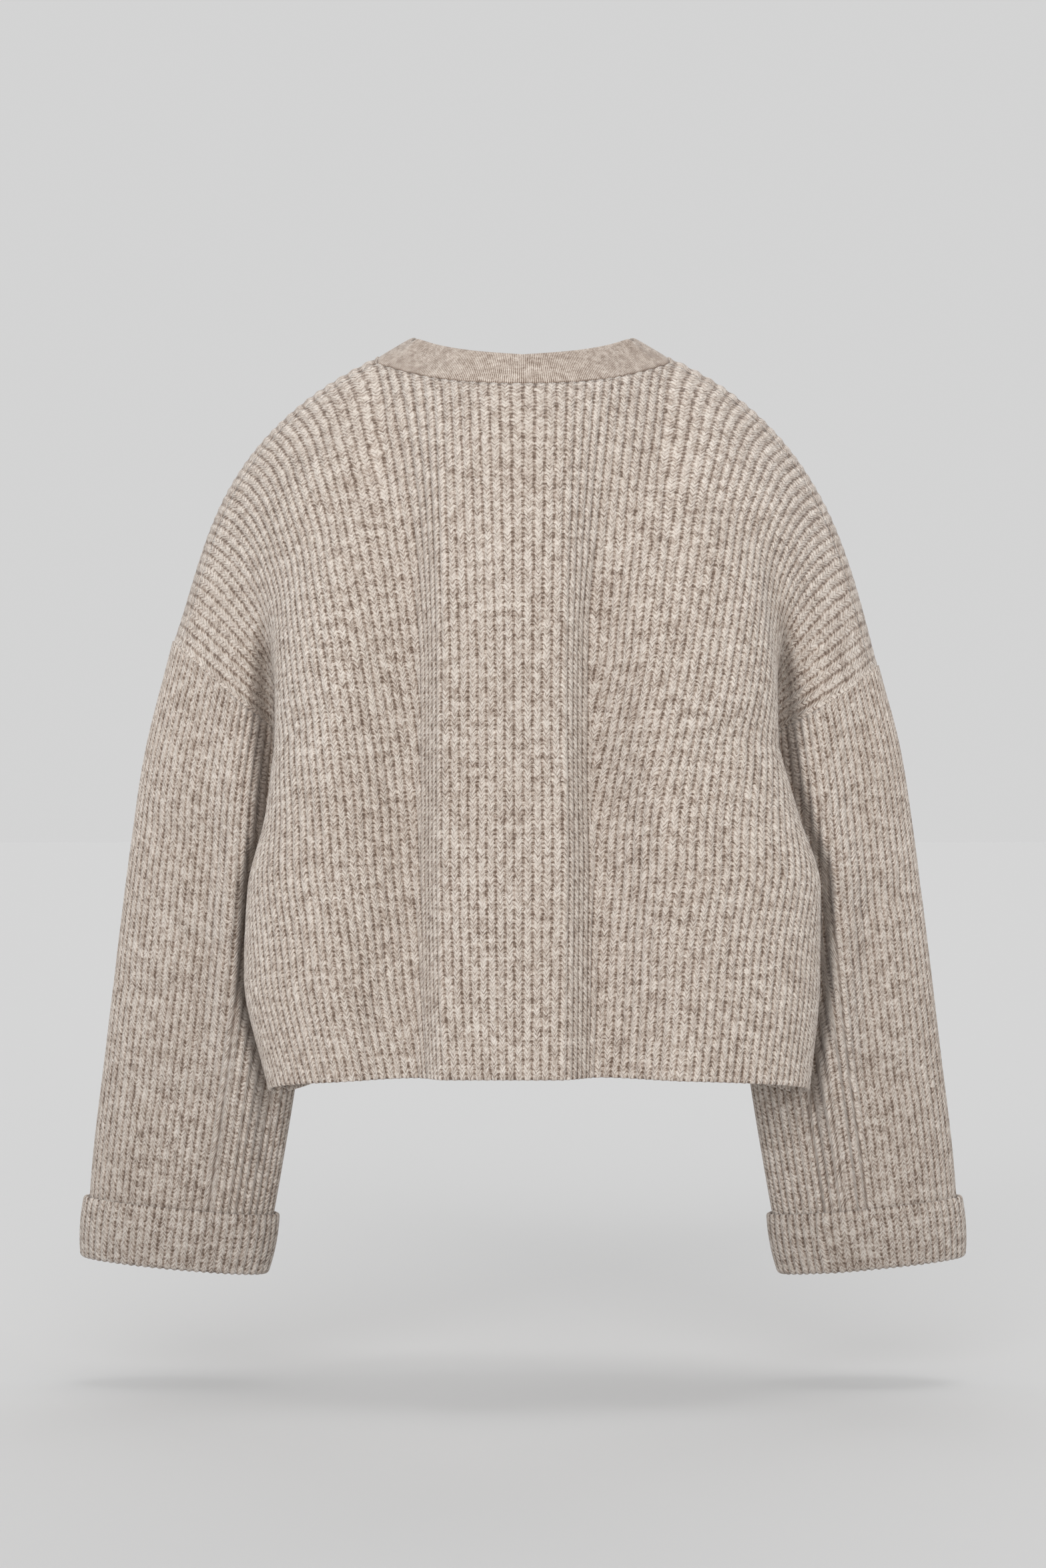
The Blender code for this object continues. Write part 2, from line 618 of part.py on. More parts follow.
def sleeve_ring(side, shares, place):
    """Points and outward directions round the sleeve at one place."""
    here = sleeve_points(side, shares, place)
    if place < 0.01:
        outward, _, _ = armhole_frames(side, here)
        return here, outward
    below = sleeve_points(side, shares, min(place + 0.02, len(RINGS)))
    down = below - sleeve_points(side, shares, place - 0.02)
    around = np.roll(here, -1, axis=0) - np.roll(here, 1, axis=0)
    outward = side * np.cross(down, around)
    return here, outward / np.linalg.norm(outward, axis=1)[:, None]


def sleeve_shares(count):
    """Even shares round a sleeve, starting at the underarm."""
    return np.arange(count) / count


def make_sleeve(name, side, material):
    """One sleeve, from the armhole seam to the fold of its cuff."""
    shares = sleeve_shares(2 * SLEEVE_RIBS)
    outer = []
    inner = []
    for place in SLEEVE_PLACES:
        form, normal = sleeve_ring(side, shares, place)
        outer.append(form + normal * (RELIEF * (np.arange(len(shares)) % 2))[:, None])
        inner.append((form - normal * WALL)[::SLEEVE_STEP])
    add_object(name, wall_mesh(name, outer, inner, shares, shares[::SLEEVE_STEP], True), material)


def make_cuff(name, side, material):
    """One turned-up cuff: an outer leg, a round fold and a short leg under the sleeve's end."""
    shares = sleeve_shares(2 * SLEEVE_RIBS)
    ribs = (np.arange(len(shares)) % 2)[:, None]
    end = len(RINGS)
    form, normal = sleeve_ring(side, shares, end)
    higher, _ = sleeve_ring(side, shares, end - 0.1)
    down = (form - higher).mean(axis=0)
    down = down / np.linalg.norm(down)
    outer = []
    inner = []
    for place in (CUFF_TOP, end - 0.02):
        leg, outward = sleeve_ring(side, shares, place)
        outer.append(leg + outward * (CUFF_PROUD + RELIEF * ribs))
        inner.append((leg + outward * (CUFF_PROUD - WALL))[::SLEEVE_STEP])
    centre = (CUFF_PROUD - WALL) / 2.0
    radius = CUFF_PROUD - centre
    turn = math.radians(CUFF_FOLD_TURN)
    fold = form + centre * normal + radius * (math.cos(turn) * normal + math.sin(turn) * down)
    outer.append(fold)
    form, normal = form[::SLEEVE_STEP], normal[::SLEEVE_STEP]
    inner.append(form + centre * normal + (radius - WALL) * down)
    inner.append(form)
    inner.append(form - CUFF_HOOK * down)
    inner.append(form - CUFF_HOOK * down - WALL * normal)
    inner.append(form - WALL * normal)
    add_object(name, wall_mesh(name, outer, inner, shares, shares[::SLEEVE_STEP], True), material)


# --- Band and buttons -----------------------------------------------------------------------------


def band_edge(side):
    """The seam that the band follows on one side, from the hem up to the nape, and its lean."""
    rises = np.array(BODY_ROWS + FRONT_YOKE_ROWS)
    front_edge = panel_points(True, side, np.full(len(rises), FRONT_EDGE), rises)
    neckline = panel_points(True, side, BAND_WALES, np.ones(len(BAND_WALES)))
    around = np.linspace(NECK_WALE, 0.0, 9)
    nape = panel_points(False, side, around, np.ones(len(around)))
    points = np.concatenate([front_edge, neckline, nape])
    place = np.concatenate([
        length_share(front_edge),
        1.0 + length_share(np.concatenate([front_edge[-1:], neckline, nape[:1]]))[1:-1],
        2.0 + length_share(nape),
    ])
    across = np.stack([column(BAND_WAYS, "place", place, name) for name in ("across", "y", "z")], axis=1)
    across[:, 0] *= side
    tangent = np.gradient(points, axis=0)
    tangent[-1, 1:] = 0.0
    normal = np.cross(across, tangent) * side
    normal /= np.linalg.norm(normal, axis=1)[:, None]
    across /= np.linalg.norm(across, axis=1)[:, None]
    lift = BAND_LIFT * (1.0 - smooth((place - 1.2) / 0.3)) if side > 0 else np.zeros(len(place))
    return points, across, normal, lift


def band_section(point, across, normal, lift):
    """The ring of points round the band at one place."""
    shape = ((0.0, 0.0), (0.12, 1.0), (0.88, 1.0), (1.0, 0.0), (0.88, -1.0), (0.12, -1.0))
    start = point + across * 2.0 * SEAM + normal * (lift - WALL / 2.0)
    half = BAND_THICKNESS / 2.0
    return [start + across * (BAND_WIDTH * u) + normal * (half * v) for u, v in shape]


def make_button(name, height, material):
    """A turned button on the upper band, square to it."""
    points, across, normal, lift = band_edge(1)
    straight = slice(0, len(BODY_ROWS + FRONT_YOKE_ROWS))
    face = lift[0] - WALL / 2.0 + BAND_THICKNESS / 2.0 + BUTTON_GAP
    middle = (points + across * (SEAM + BAND_WIDTH / 2.0) + normal * face)[straight]
    place = vector(*(np.interp(height, middle[:, 2], middle[:, k]) for k in range(3)))
    out = vector(*(np.interp(height, middle[:, 2], normal[straight, k]) for k in range(3)))
    data = bpy.data.meshes.new(name)
    count = len(BUTTON_PROFILE)
    data.from_pydata([(r, 0.0, h) for r, h in BUTTON_PROFILE], [(k, k + 1) for k in range(count - 1)], [])
    thing = add_object(name, data, material)
    thing.location = place
    thing.rotation_euler = Vector(out).to_track_quat("Z", "Y").to_euler()
    turn = thing.modifiers.new("turn", "SCREW")
    turn.angle = 2.0 * math.pi
    turn.steps = BUTTON_STEPS
    turn.render_steps = BUTTON_STEPS
    turn.use_merge_vertices = True
    turn.merge_threshold = 0.0001
    turn.use_normal_calculate = True


def make_band(material):
    """The band: up the left front, round the neck and down the right front."""
    left = [band_section(*place) for place in zip(*band_edge(-1))]
    right = [band_section(*place) for place in zip(*band_edge(1))]
    rings = left + right[-2::-1]
    mesh = bmesh.new()
    loops = [[mesh.verts.new(point) for point in ring] for ring in rings]
    for low, high in zip(loops[:-1], loops[1:]):
        for k in range(len(low)):
            after = (k + 1) % len(low)
            mesh.faces.new((low[k], low[after], high[after], high[k]))
    mesh.faces.new(loops[0])
    mesh.faces.new(loops[-1])
    bmesh.ops.recalc_face_normals(mesh, faces=mesh.faces)
    data = bpy.data.meshes.new("band")
    mesh.to_mesh(data)
    mesh.free()
    add_object("band", data, material)


def add_object(name, data, material):
    """Put a mesh into the collection under its name, with its material."""
    thing = bpy.data.objects.new(name, data)
    data.materials.append(material)
    bpy.data.collections[COLLECTION].objects.link(thing)
    return thing


def finish(name, colour, roughness):
    """A plain material for one kind of piece."""
    material = bpy.data.materials.new(name)
    material.use_nodes = True
    shader = material.node_tree.nodes["Principled BSDF"]
    shader.inputs["Base Color"].default_value = (*colour, 1.0)
    shader.inputs["Roughness"].default_value = roughness
    shader.inputs["Metallic"].default_value = 0.0
    return material


def make_back(material):
    """The back, in one piece from side seam to side seam."""
    make_panel("back", False, np.linspace(-HALF_PANEL, HALF_PANEL, 4 * RIBS_PER_HALF + 1), material)


def make_front(name, side, material):
    """One front, from the band to the side seam."""
    ribs = np.arange(FRONT_EDGE // RIB + 1, RIBS_PER_HALF + 0.25, 0.5) * RIB
    make_panel(name, True, side * np.concatenate(([FRONT_EDGE], ribs)), material)


def main():
    """Build every piece."""
    for thing in list(bpy.data.objects):
        bpy.data.objects.remove(thing, do_unlink=True)
    collection = bpy.data.collections.new(COLLECTION)
    bpy.context.scene.collection.children.link(collection)
    knit = finish("rib_knit", (0.46, 0.37, 0.31), 0.95)
    fine_knit = finish("fine_knit", (0.42, 0.34, 0.28), 0.95)
    make_back(knit)
    for hand, side in (("left", -1), ("right", 1)):
        make_front(f"front_{hand}", side, knit)
        make_sleeve(f"sleeve_{hand}", side, knit)
        make_cuff(f"cuff_{hand}", side, knit)
    make_band(fine_knit)
    horn = finish("horn", (0.20, 0.14, 0.10), 0.45)
    for number, height in enumerate(BUTTON_HEIGHTS, 1):
        make_button(f"button_{number}", height, horn)


main()
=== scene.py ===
"""Looks of the oversized cardigan: chunky rib panels, sleeves, turned-up cuffs, neckband and buttons.

Metres, +Z up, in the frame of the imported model. The back faces -Y, the front +Y, and the wearer's right
is +X. A place on a panel is (wale, rise), as in the solids: the wale is the distance from the panel's
middle on the flat cloth, and the rise runs from 0 at the hem past UNDERARM to 1 at the shoulder.
"""

import logging
import math
from dataclasses import dataclass
from enum import Enum
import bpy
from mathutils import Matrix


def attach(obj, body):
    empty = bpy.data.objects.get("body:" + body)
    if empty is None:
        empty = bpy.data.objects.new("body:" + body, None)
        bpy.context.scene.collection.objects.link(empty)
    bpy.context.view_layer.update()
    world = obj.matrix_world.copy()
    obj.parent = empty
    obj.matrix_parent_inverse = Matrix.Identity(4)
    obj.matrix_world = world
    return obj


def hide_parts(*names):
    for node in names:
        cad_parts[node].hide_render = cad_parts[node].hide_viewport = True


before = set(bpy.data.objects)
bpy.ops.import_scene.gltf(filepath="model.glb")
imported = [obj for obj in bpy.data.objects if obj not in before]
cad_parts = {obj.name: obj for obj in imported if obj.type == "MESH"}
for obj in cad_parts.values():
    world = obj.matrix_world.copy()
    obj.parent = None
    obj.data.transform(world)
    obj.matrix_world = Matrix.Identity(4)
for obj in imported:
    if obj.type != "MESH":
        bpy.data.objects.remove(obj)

from types import SimpleNamespace
from typing import Any, Callable, Dict, Iterable, List, Optional, Tuple, Union

import bpy
import numpy as np
from mathutils import Vector

Array = np.ndarray
Colour = Tuple[float, float, float]
log = logging.getLogger("cardigan")

RIB = 0.006  # one rib and its groove
RIBS_PER_HALF = 46  # from a panel's middle to its armhole edge
HALF_PANEL = RIB * RIBS_PER_HALF
SLEEVE_RIBS = 60
WALL = 0.002
RELIEF = 0.0013  # height of the outer face's ribs
INNER_RELIEF = 0.0007
RIB_POWER = 0.8  # below 1 the ribs are full and the grooves narrow
COURSE = 0.0033  # one row of stitches
UNDERARM = 0.4  # rise of the underarm course
RIDGE = 0.93  # rise at which a front crosses the shoulder line
COLUMNS_PER_RIB = 5  # in a panel's grid
PER_METRE = 1000  # millimetres


class Side(Enum):
    """A side of the wearer."""

    LEFT = -1
    RIGHT = 1

    @property
    def label(self) -> str:
        """The side's word in a piece's name."""
        return self.name.lower()


class Panel(Enum):
    """A panel of the body."""

    BACK = "back"
    FRONT = "front"


class Table:
    """Rows of sizes with named columns; the first column places each row."""

    def __init__(self, columns: str, *rows: Tuple[Any, ...]) -> None:
        """Keep the rows, and a smooth curve through each column.

        Args:
            columns: The columns' names.
            rows: Each row's own name and sizes.
        """
        names = columns.split()
        self.rows = [SimpleNamespace(**dict(zip(names, row[1:]))) for row in rows]
        values = np.array(sorted(row[1:] for row in rows)).T
        self.x = values[0]
        self.curves: Dict[str, Tuple[Array, Array]] = {}
        for name, y in zip(names, values):
            slope = np.diff(y) / np.diff(self.x)
            before, after = slope[:-1], slope[1:]
            rising = before * after > 0.0
            tangent = np.concatenate([slope[:1], np.zeros(len(y) - 2), slope[-1:]])
            tangent[1:-1][rising] = 2.0 * (before * after)[rising] / (before + after)[rising]
            self.curves[name] = y, tangent

    def at(self, place: Any) -> SimpleNamespace:
        """Every column at a place, or at many."""
        x = self.x
        place = np.clip(place, x[0], x[-1])
        i = np.clip(np.searchsorted(x, place) - 1, 0, len(x) - 2)
        step = x[i + 1] - x[i]
        t = (place - x[i]) / step
        start, end = (1 + 2 * t) * (1 - t) ** 2, t * t * (3 - 2 * t)
        leave, arrive = t * (1 - t) ** 2 * step, t * t * (t - 1) * step
        return SimpleNamespace(**{
            name: start * y[i] + leave * tangent[i] + end * y[i + 1] + arrive * tangent[i + 1]
            for name, (y, tangent) in self.curves.items()
        })


# Courses of the body: the back is an arc to its widest place, the wing, and a tuck from there.
COURSES = Table(
    "middle edge back wing_left wing_right wing_y wing_wale seam_left seam_right seam_y "
    "heading front wing_front front_y front_wale vent",
    ("hem", -0.533, -0.549, 0.132, 0.183, 0.206, -0.034, 0.262,
     0.180, 0.203, -0.026, 150.0, 0.112, 0.154, 0.062, 0.168, 0.012),
    ("vent", -0.459, -0.467, 0.135, 0.200, 0.213, -0.036, 0.258,
     0.195, 0.205, -0.027, 150.0, 0.116, 0.150, 0.066, 0.168, 0.0),
    ("waist", -0.398, -0.406, 0.138, 0.197, 0.213, -0.044, 0.244,
     0.168, 0.169, -0.015, 142.0, 0.121, 0.146, 0.072, 0.172, 0.0),
    ("ribs", -0.345, -0.355, 0.140, 0.184, 0.197, -0.052, 0.228,
     0.147, 0.148, 0.008, 108.0, 0.125, 0.148, 0.080, 0.186, 0.0),
    ("underarm", -0.293, -0.310, 0.140, 0.177, 0.182, -0.060, 0.216,
     0.156, 0.157, 0.022, 84.0, 0.127, 0.164, 0.086, 0.206, 0.0),
)
# Wales of a yoke: how each leaves the underarm course (lift) and the shoulder line (drop).
BACK_WALES = Table(
    "wale lift_across lift_y lift_z drop_across drop_y drop_z",
    ("middle", 0.000, 0.000, -0.006, 0.105, 0.000, -0.040, -0.052),
    ("neck", 0.110, 0.000, -0.004, 0.110, -0.012, -0.044, -0.030),
    ("blade", 0.160, 0.000, -0.002, 0.105, -0.028, -0.052, -0.022),
    ("wing", 0.216, -0.003, 0.000, 0.085, -0.034, -0.044, -0.022),
    ("tuck", 0.246, 0.004, -0.012, 0.045, -0.030, -0.036, -0.022),
    ("armhole", 0.276, 0.018, -0.042, 0.017, -0.020, -0.034, -0.019),
)
FRONT_WALES = Table(
    "wale lift_across lift_y lift_z drop_across drop_y drop_z",
    ("middle", 0.000, 0.000, 0.004, 0.100, 0.000, 0.060, 0.000),
    ("neck", 0.111, 0.000, 0.006, 0.098, 0.000, 0.052, 0.000),
    ("blade", 0.160, 0.000, 0.008, 0.098, 0.000, 0.054, 0.000),
    ("wing", 0.216, -0.002, 0.004, 0.080, 0.000, 0.048, 0.000),
    ("tuck", 0.246, 0.004, 0.010, 0.045, 0.000, 0.044, 0.000),
    ("armhole", 0.276, 0.018, 0.040, 0.017, 0.000, 0.042, 0.000),
)
# The share of its way up the yoke at which the neckline cuts a wale of a front.
NECKLINE = Table(
    "wale share",
    ("point of the V", 0.0155, 0.190),
    ("chest", 0.045, 0.330),
    ("collar", 0.078, 0.510),
    ("neck", 0.099, 0.700),
    ("side", 0.108, 0.900),
    ("shoulder", 0.111, 1.000),
)
# Each side's shoulder line, from the neck to the top of the armhole.
SHOULDERS = dict(zip(Side, Table(
    "top_x top_z neck_reach neck_slope top_reach top_slope",
    ("left", 0.256, -0.222, 0.132, 26.0, 0.070, 70.0),
    ("right", 0.260, -0.240, 0.128, 24.0, 0.066, 74.0),
).rows))
# Rings of a sleeve below the armhole.
RINGS = Table(
    "outer_x outer_z inner_x inner_z y half_depth",
    ("upper arm", 0.2750, -0.300, 0.1590, -0.366, 0.012, 0.040),
    ("elbow top", 0.2860, -0.367, 0.1580, -0.422, 0.018, 0.038),
    ("elbow", 0.2960, -0.440, 0.1605, -0.477, 0.025, 0.036),
    ("forearm", 0.3060, -0.520, 0.1670, -0.537, 0.030, 0.035),
    ("wrist", 0.3160, -0.600, 0.1795, -0.613, 0.035, 0.034),
    ("end", 0.3215, -0.672, 0.1925, -0.684, 0.038, 0.034),
)
# Long soft troughs; the last two columns move the bottom and the outer wall at the hem.
FOLD_COLUMNS = "trough inner_wall outer_wall depth top full trough_low outer_low"
FOLDS = {
    Panel.BACK: Table(
        FOLD_COLUMNS,
        ("left trough", -0.074, -0.055, -0.140, 0.029, -0.090, -0.310, -0.002, 0.000),
        ("right trough", 0.045, 0.026, 0.090, 0.031, -0.140, -0.350, 0.010, 0.026),
    ),
    Panel.FRONT: Table(
        FOLD_COLUMNS,
        ("left trough", -0.098, -0.062, -0.134, 0.009, -0.240, -0.460, 0.000, 0.000),
        ("right trough", 0.086, 0.054, 0.126, 0.010, -0.230, -0.440, 0.000, 0.000),
    ),
}
# Ribs by which the count beyond the long troughs differs from the flat cloth's.
DRIFTS = Table(
    "rise left right",
    ("hem", 0.00, 3.6, 4.4),
    ("vent", 0.13, 3.2, 4.3),
    ("waist", 0.26, 2.6, 4.0),
    ("underarm", 0.40, 1.4, 1.8),
    ("middle of the armhole", 0.50, 0.0, 0.0),
    ("blade", 0.60, -1.6, -1.5),
    ("yoke", 0.70, -3.1, -2.7),
    ("below the shoulder", 0.85, -4.7, -3.9),
    ("shoulder", 1.00, -5.1, -4.2),
)
# Where the body's edge lies on the sleeve, how deep and wide its crease is, and the swell beside it.
CONTACTS = Table(
    "z left right depth_left depth_right width_left width_right puff",
    ("yoke", -0.165, 0.164, 0.166, 0.0, 0.0, 1.2, 1.6, 0.0),
    ("blade", -0.195, 0.171, 0.169, 0.0, 0.6, 1.2, 1.6, 0.3),
    ("crease", -0.225, 0.176, 0.173, 0.3, 1.0, 1.2, 1.6, 0.8),
    ("armhole", -0.265, 0.178, 0.179, 1.0, 1.0, 1.2, 1.5, 1.0),
    ("underarm", -0.310, 0.178, 0.184, 1.0, 1.0, 1.1, 1.15, 1.0),
    ("ribs", -0.355, 0.184, 0.198, 1.0, 1.0, 0.85, 0.95, 1.0),
    ("waist", -0.406, 0.195, 0.214, 1.0, 1.0, 0.70, 0.80, 1.0),
    ("vent", -0.467, 0.197, 0.214, 1.0, 1.0, 0.75, 0.75, 1.0),
    ("hem", -0.545, 0.181, 0.207, 1.0, 1.0, 1.1, 0.85, 0.9),
    ("below the hem", -0.580, 0.181, 0.207, 0.2, 0.2, 1.1, 0.9, 0.6),
    ("wrist", -0.630, 0.181, 0.207, 0.0, 0.0, 1.1, 1.0, 0.2),
    ("end", -0.700, 0.181, 0.207, 0.0, 0.0, 1.1, 1.0, 0.1),
)
# The share of a yoke's drift that reaches each wale.
FANS = Table(
    "wale share",
    ("middle", 0.000, 0.00),
    ("inner nape", 0.045, 0.14),
    ("nape", 0.065, 0.27),
    ("neck roll", 0.090, 0.62),
    ("neck", 0.111, 0.90),
    ("shoulder", 0.135, 1.00),
    ("blade", 0.160, 0.95),
    ("wing", 0.200, 0.65),
    ("tuck", 0.240, 0.30),
    ("armhole", 0.276, 0.05),
)
CUT_WALES = {Side.LEFT: 0.084, Side.RIGHT: 0.0564}
# The way across the band from its seam at places along it.
BAND_WAYS = Table(
    "place across y z",
    ("hem", 0.00, -1.00, 0.00, 0.00),
    ("below the V", 0.94, -1.00, 0.00, 0.00),
    ("point of the V", 1.00, -0.96, 0.00, 0.28),
    ("above the V", 1.12, -0.93, 0.03, 0.36),
    ("chest", 1.60, -0.92, -0.16, 0.36),
    ("collar", 1.85, -0.90, -0.10, 0.42),
    ("shoulder", 2.00, -0.84, 0.02, 0.55),
    ("past the shoulder", 2.14, -0.66, 0.20, 0.76),
    ("behind the shoulder", 2.32, -0.54, 0.36, 0.77),
    ("nape", 3.00, 0.00, 0.635, 0.77),
)


# --- Small maths ---


def vector(*values: float) -> Array:
    """A point or direction as an array."""
    return np.array(values, dtype=float)


def smooth(value: Any) -> Any:
    """0 to 1 with level ends."""
    value = np.clip(value, 0.0, 1.0)
    return value * value * (3.0 - 2.0 * value)


def bezier(start: Array, leave: Array, arrive: Array, end: Array, t: Array) -> Array:
    """A cubic curve.

    Args:
        start: Its first point.
        leave: The handle after it.
        arrive: The handle before the end.
        end: Its last point.
        t: Places from 0 to 1.

    Returns:
        The points at those places.
    """
    t = np.asarray(t)[..., None]
    u = 1.0 - t
    return u**3 * start + 3 * u * u * t * leave + 3 * u * t * t * arrive + t**3 * end


def lengths(points: Array) -> Array:
    """Length along a polyline, or along each column of a grid, up to each row."""
    steps = np.linalg.norm(np.diff(points, axis=0), axis=-1)
    return np.concatenate([np.zeros_like(steps[:1]), np.cumsum(steps, axis=0)])


def along(points: Array, fractions: Array) -> Array:
    """Points at the given fractions of a polyline's length."""
    reach = lengths(points)
    reach = reach / reach[-1]
    return np.stack([np.interp(fractions, reach, points[:, k]) for k in range(points.shape[1])], axis=-1)


def unit(values: Array) -> Array:
    """Vectors at length 1."""
    return values / np.maximum(np.linalg.norm(values, axis=-1, keepdims=True), 1e-12)


def rib_profile(phase: Array) -> Array:
    """Height of a rounded rib across its width, from 0 in its grooves to 1 on top."""
    across = np.abs(2.0 * (phase - np.floor(phase)) - 1.0)
    return (0.5 + 0.5 * np.cos(math.pi * across)) ** RIB_POWER


def rib_count(side: Side, panel: Panel, wales: Array, rise: float) -> Array:
    """Which rib lies at each wale: below the yoke the back's troughs swallow ribs, above it they fan out.

    Args:
        side: The side of the wearer.
        panel: The back or a front.
        wales: Positive wales.
        rise: The row's rise.

    Returns:
        Rib counts from the panel's middle.
    """
    drift = float(getattr(DRIFTS.at(rise), side.label))
    if drift > 0.0:
        share = (wales > CUT_WALES[side]).astype(float) if panel is Panel.BACK else np.zeros_like(wales)
    else:
        share = FANS.at(wales).share
    return wales / RIB + drift * share


# --- The form of the body ---


@dataclass(frozen=True)
class BodyForm:
    """The shape that the body's panels take round nobody, on one side of the wearer."""

    side: Side
    neck_wale: float = 0.111
    neck_back: Tuple[float, float, float] = (0.0, -0.083, -0.0425)
    neck_side_x: float = 0.1087
    neck_side_z: float = -0.0176
    nape_leave: Tuple[float, float, float] = (0.050, 0.001, 0.0)
    nape_arrive: Tuple[float, float, float] = (-0.030, -0.032, -0.013)
    front_edge: float = 0.0155
    front_power: float = 2.0 / 2.2
    back_power: float = 2.0 / 2.25
    edge_power: int = 3
    vent_way: Tuple[float, float] = (-0.6, 0.8)
    tuck_lean: float = -0.08
    tuck_leave: float = 0.4
    tuck_arrive: float = 0.45
    seam_angle: float = math.radians(34.0)
    neck_roll: float = 0.026
    sleeve_roll: float = 0.040
    shoulder_top_y: float = 0.020
    neck_forward: float = 0.02
    top_back: float = -0.05
    turn_from: float = 0.65
    ahead_step: float = 0.02
    samples: int = 361
    armhole_rows: int = 61

    def of_side(self, left: float, right: float) -> float:
        """The left or the right value."""
        return left if self.side is Side.LEFT else right

    def shoulder_line(self, wales: Array) -> Tuple[Array, Array, Array]:
        """The shoulder line.

        Args:
            wales: Wales to read it at.

        Returns:
            Its points, the outward directions across it, and their shares of its length.
        """
        shoulder = SHOULDERS[self.side]
        neck = vector(self.neck_side_x, 0.0, self.neck_side_z)
        top = vector(shoulder.top_x, self.shoulder_top_y, shoulder.top_z)
        slope = math.radians(shoulder.neck_slope)
        steep = math.radians(shoulder.top_slope)
        leave = neck + shoulder.neck_reach * vector(math.cos(slope), self.neck_forward, -math.sin(slope))
        arrive = top + shoulder.top_reach * vector(-math.cos(steep), self.top_back, math.sin(steep))
        curve = bezier(neck, leave, arrive, top, np.linspace(0.0, 1.0, self.samples))
        share = (np.asarray(wales) - self.neck_wale) / (HALF_PANEL - self.neck_wale)
        on_curve = np.clip(share, 0.0, 1.0)
        points = along(curve, on_curve)
        here = on_curve * (1.0 - self.ahead_step)
        ahead = along(curve, here + self.ahead_step) - along(curve, here)
        ahead[:, 1] = 0.0
        ahead = unit(ahead)
        first = unit(curve[1] - curve[0])
        reach = (self.neck_side_x - self.front_edge) / (self.neck_wale - self.front_edge) / first[0]
        points = points + np.minimum(wales - self.neck_wale, 0.0)[:, None] * reach * first
        outward = np.stack([-ahead[:, 2], np.zeros(len(ahead)), ahead[:, 0]], axis=1)
        turn = smooth((share - self.turn_from) / (1.0 - self.turn_from))[:, None]
        outward = outward * (1.0 - turn) + self.armhole_axes()[0] * turn
        return points, unit(outward), share

    def shoulder_roll(self, wales: Array, turn: Any) -> Array:
        """Points on the roll over the shoulder, turned back by a share of the seam's angle."""
        points, outward, share = self.shoulder_line(wales)
        radius = self.neck_roll + (self.sleeve_roll - self.neck_roll) * smooth(share)
        angle = self.seam_angle * np.asarray(turn)
        sink = (radius * (1.0 - np.cos(angle)))[:, None]
        back = (radius * np.sin(angle))[:, None]
        return points - sink * outward + back * vector(0.0, -1.0, 0.0)

    def underarm_point(self) -> Array:
        """Where the side seam meets the armhole; x is positive on both sides."""
        course = COURSES.rows[-1]
        return vector(self.of_side(course.seam_left, course.seam_right), course.seam_y, course.edge)

    def armhole_axes(self) -> Tuple[Array, Array]:
        """The armhole plane's way up from the underarm, and its way out into the sleeve."""
        shoulder = SHOULDERS[self.side]
        low = self.underarm_point()
        up = unit(vector(shoulder.top_x - low[0], 0.0, shoulder.top_z - low[2]))
        return up, vector(up[2], 0.0, -up[0])

    def section(self, panel: Panel, wales: Array, rise: float) -> Array:
        """Points of one course of the body between the hem and the underarm.

        Args:
            panel: The back or a front.
            wales: Positive wales.
            rise: The course's rise.

        Returns:
            The points, with x positive on both sides.
        """
        low, high = COURSES.rows[0].middle, COURSES.rows[-1].middle
        middle = low + (high - low) * rise / UNDERARM
        c = COURSES.at(middle)
        seam = vector(self.of_side(c.seam_left, c.seam_right), c.seam_y)
        heading = math.radians(c.heading)
        ahead = vector(math.cos(heading), math.sin(heading))
        height = c.middle + (c.edge - c.middle) * (wales / HALF_PANEL) ** self.edge_power
        first, inner_wale = 0.0, 0.0
        if panel is Panel.FRONT:
            wing = vector(c.wing_front, c.front_y)
            depth, power, wing_wale, way = c.front - c.front_y, self.front_power, c.front_wale, 1.0
            seam = seam + vector(*self.vent_way) * c.vent
            inner_wale = self.front_edge
            first = math.asin((self.front_edge / wing[0]) ** (1.0 / power))
            wing_leave = wing + vector(self.tuck_lean, -self.tuck_leave) * (wing[1] - seam[1])
            seam_arrive = seam + self.tuck_arrive * abs(wing[1] - seam[1]) * ahead
        else:
            wing = vector(self.of_side(c.wing_left, c.wing_right), c.wing_y)
            depth, power, wing_wale, way = c.back + c.wing_y, self.back_power, c.wing_wale, -1.0
            wing_leave = wing + vector(0.0, self.tuck_leave) * (seam[1] - wing[1])
            seam_arrive = seam - self.tuck_arrive * abs(seam[1] - wing[1]) * ahead
        turn = np.linspace(first, math.pi / 2, self.samples)
        sine, cosine = np.sin(turn), np.maximum(np.cos(turn), 0.0)
        arc = np.stack([wing[0] * sine**power, wing[1] + way * depth * cosine**power], axis=1)
        arc[:, 1] -= way * self.fold_depth(panel, self.side.value * arc[:, 0], c.middle)
        tuck = bezier(wing, wing_leave, seam_arrive, seam, np.linspace(0.0, 1.0, self.samples))
        on_arc = along(arc, np.clip((wales - inner_wale) / (wing_wale - inner_wale), 0.0, 1.0))
        on_tuck = along(tuck, np.clip((wales - wing_wale) / (HALF_PANEL - wing_wale), 0.0, 1.0))
        plan = np.where((wales <= wing_wale)[:, None], on_arc, on_tuck)
        return np.column_stack([plan, height])

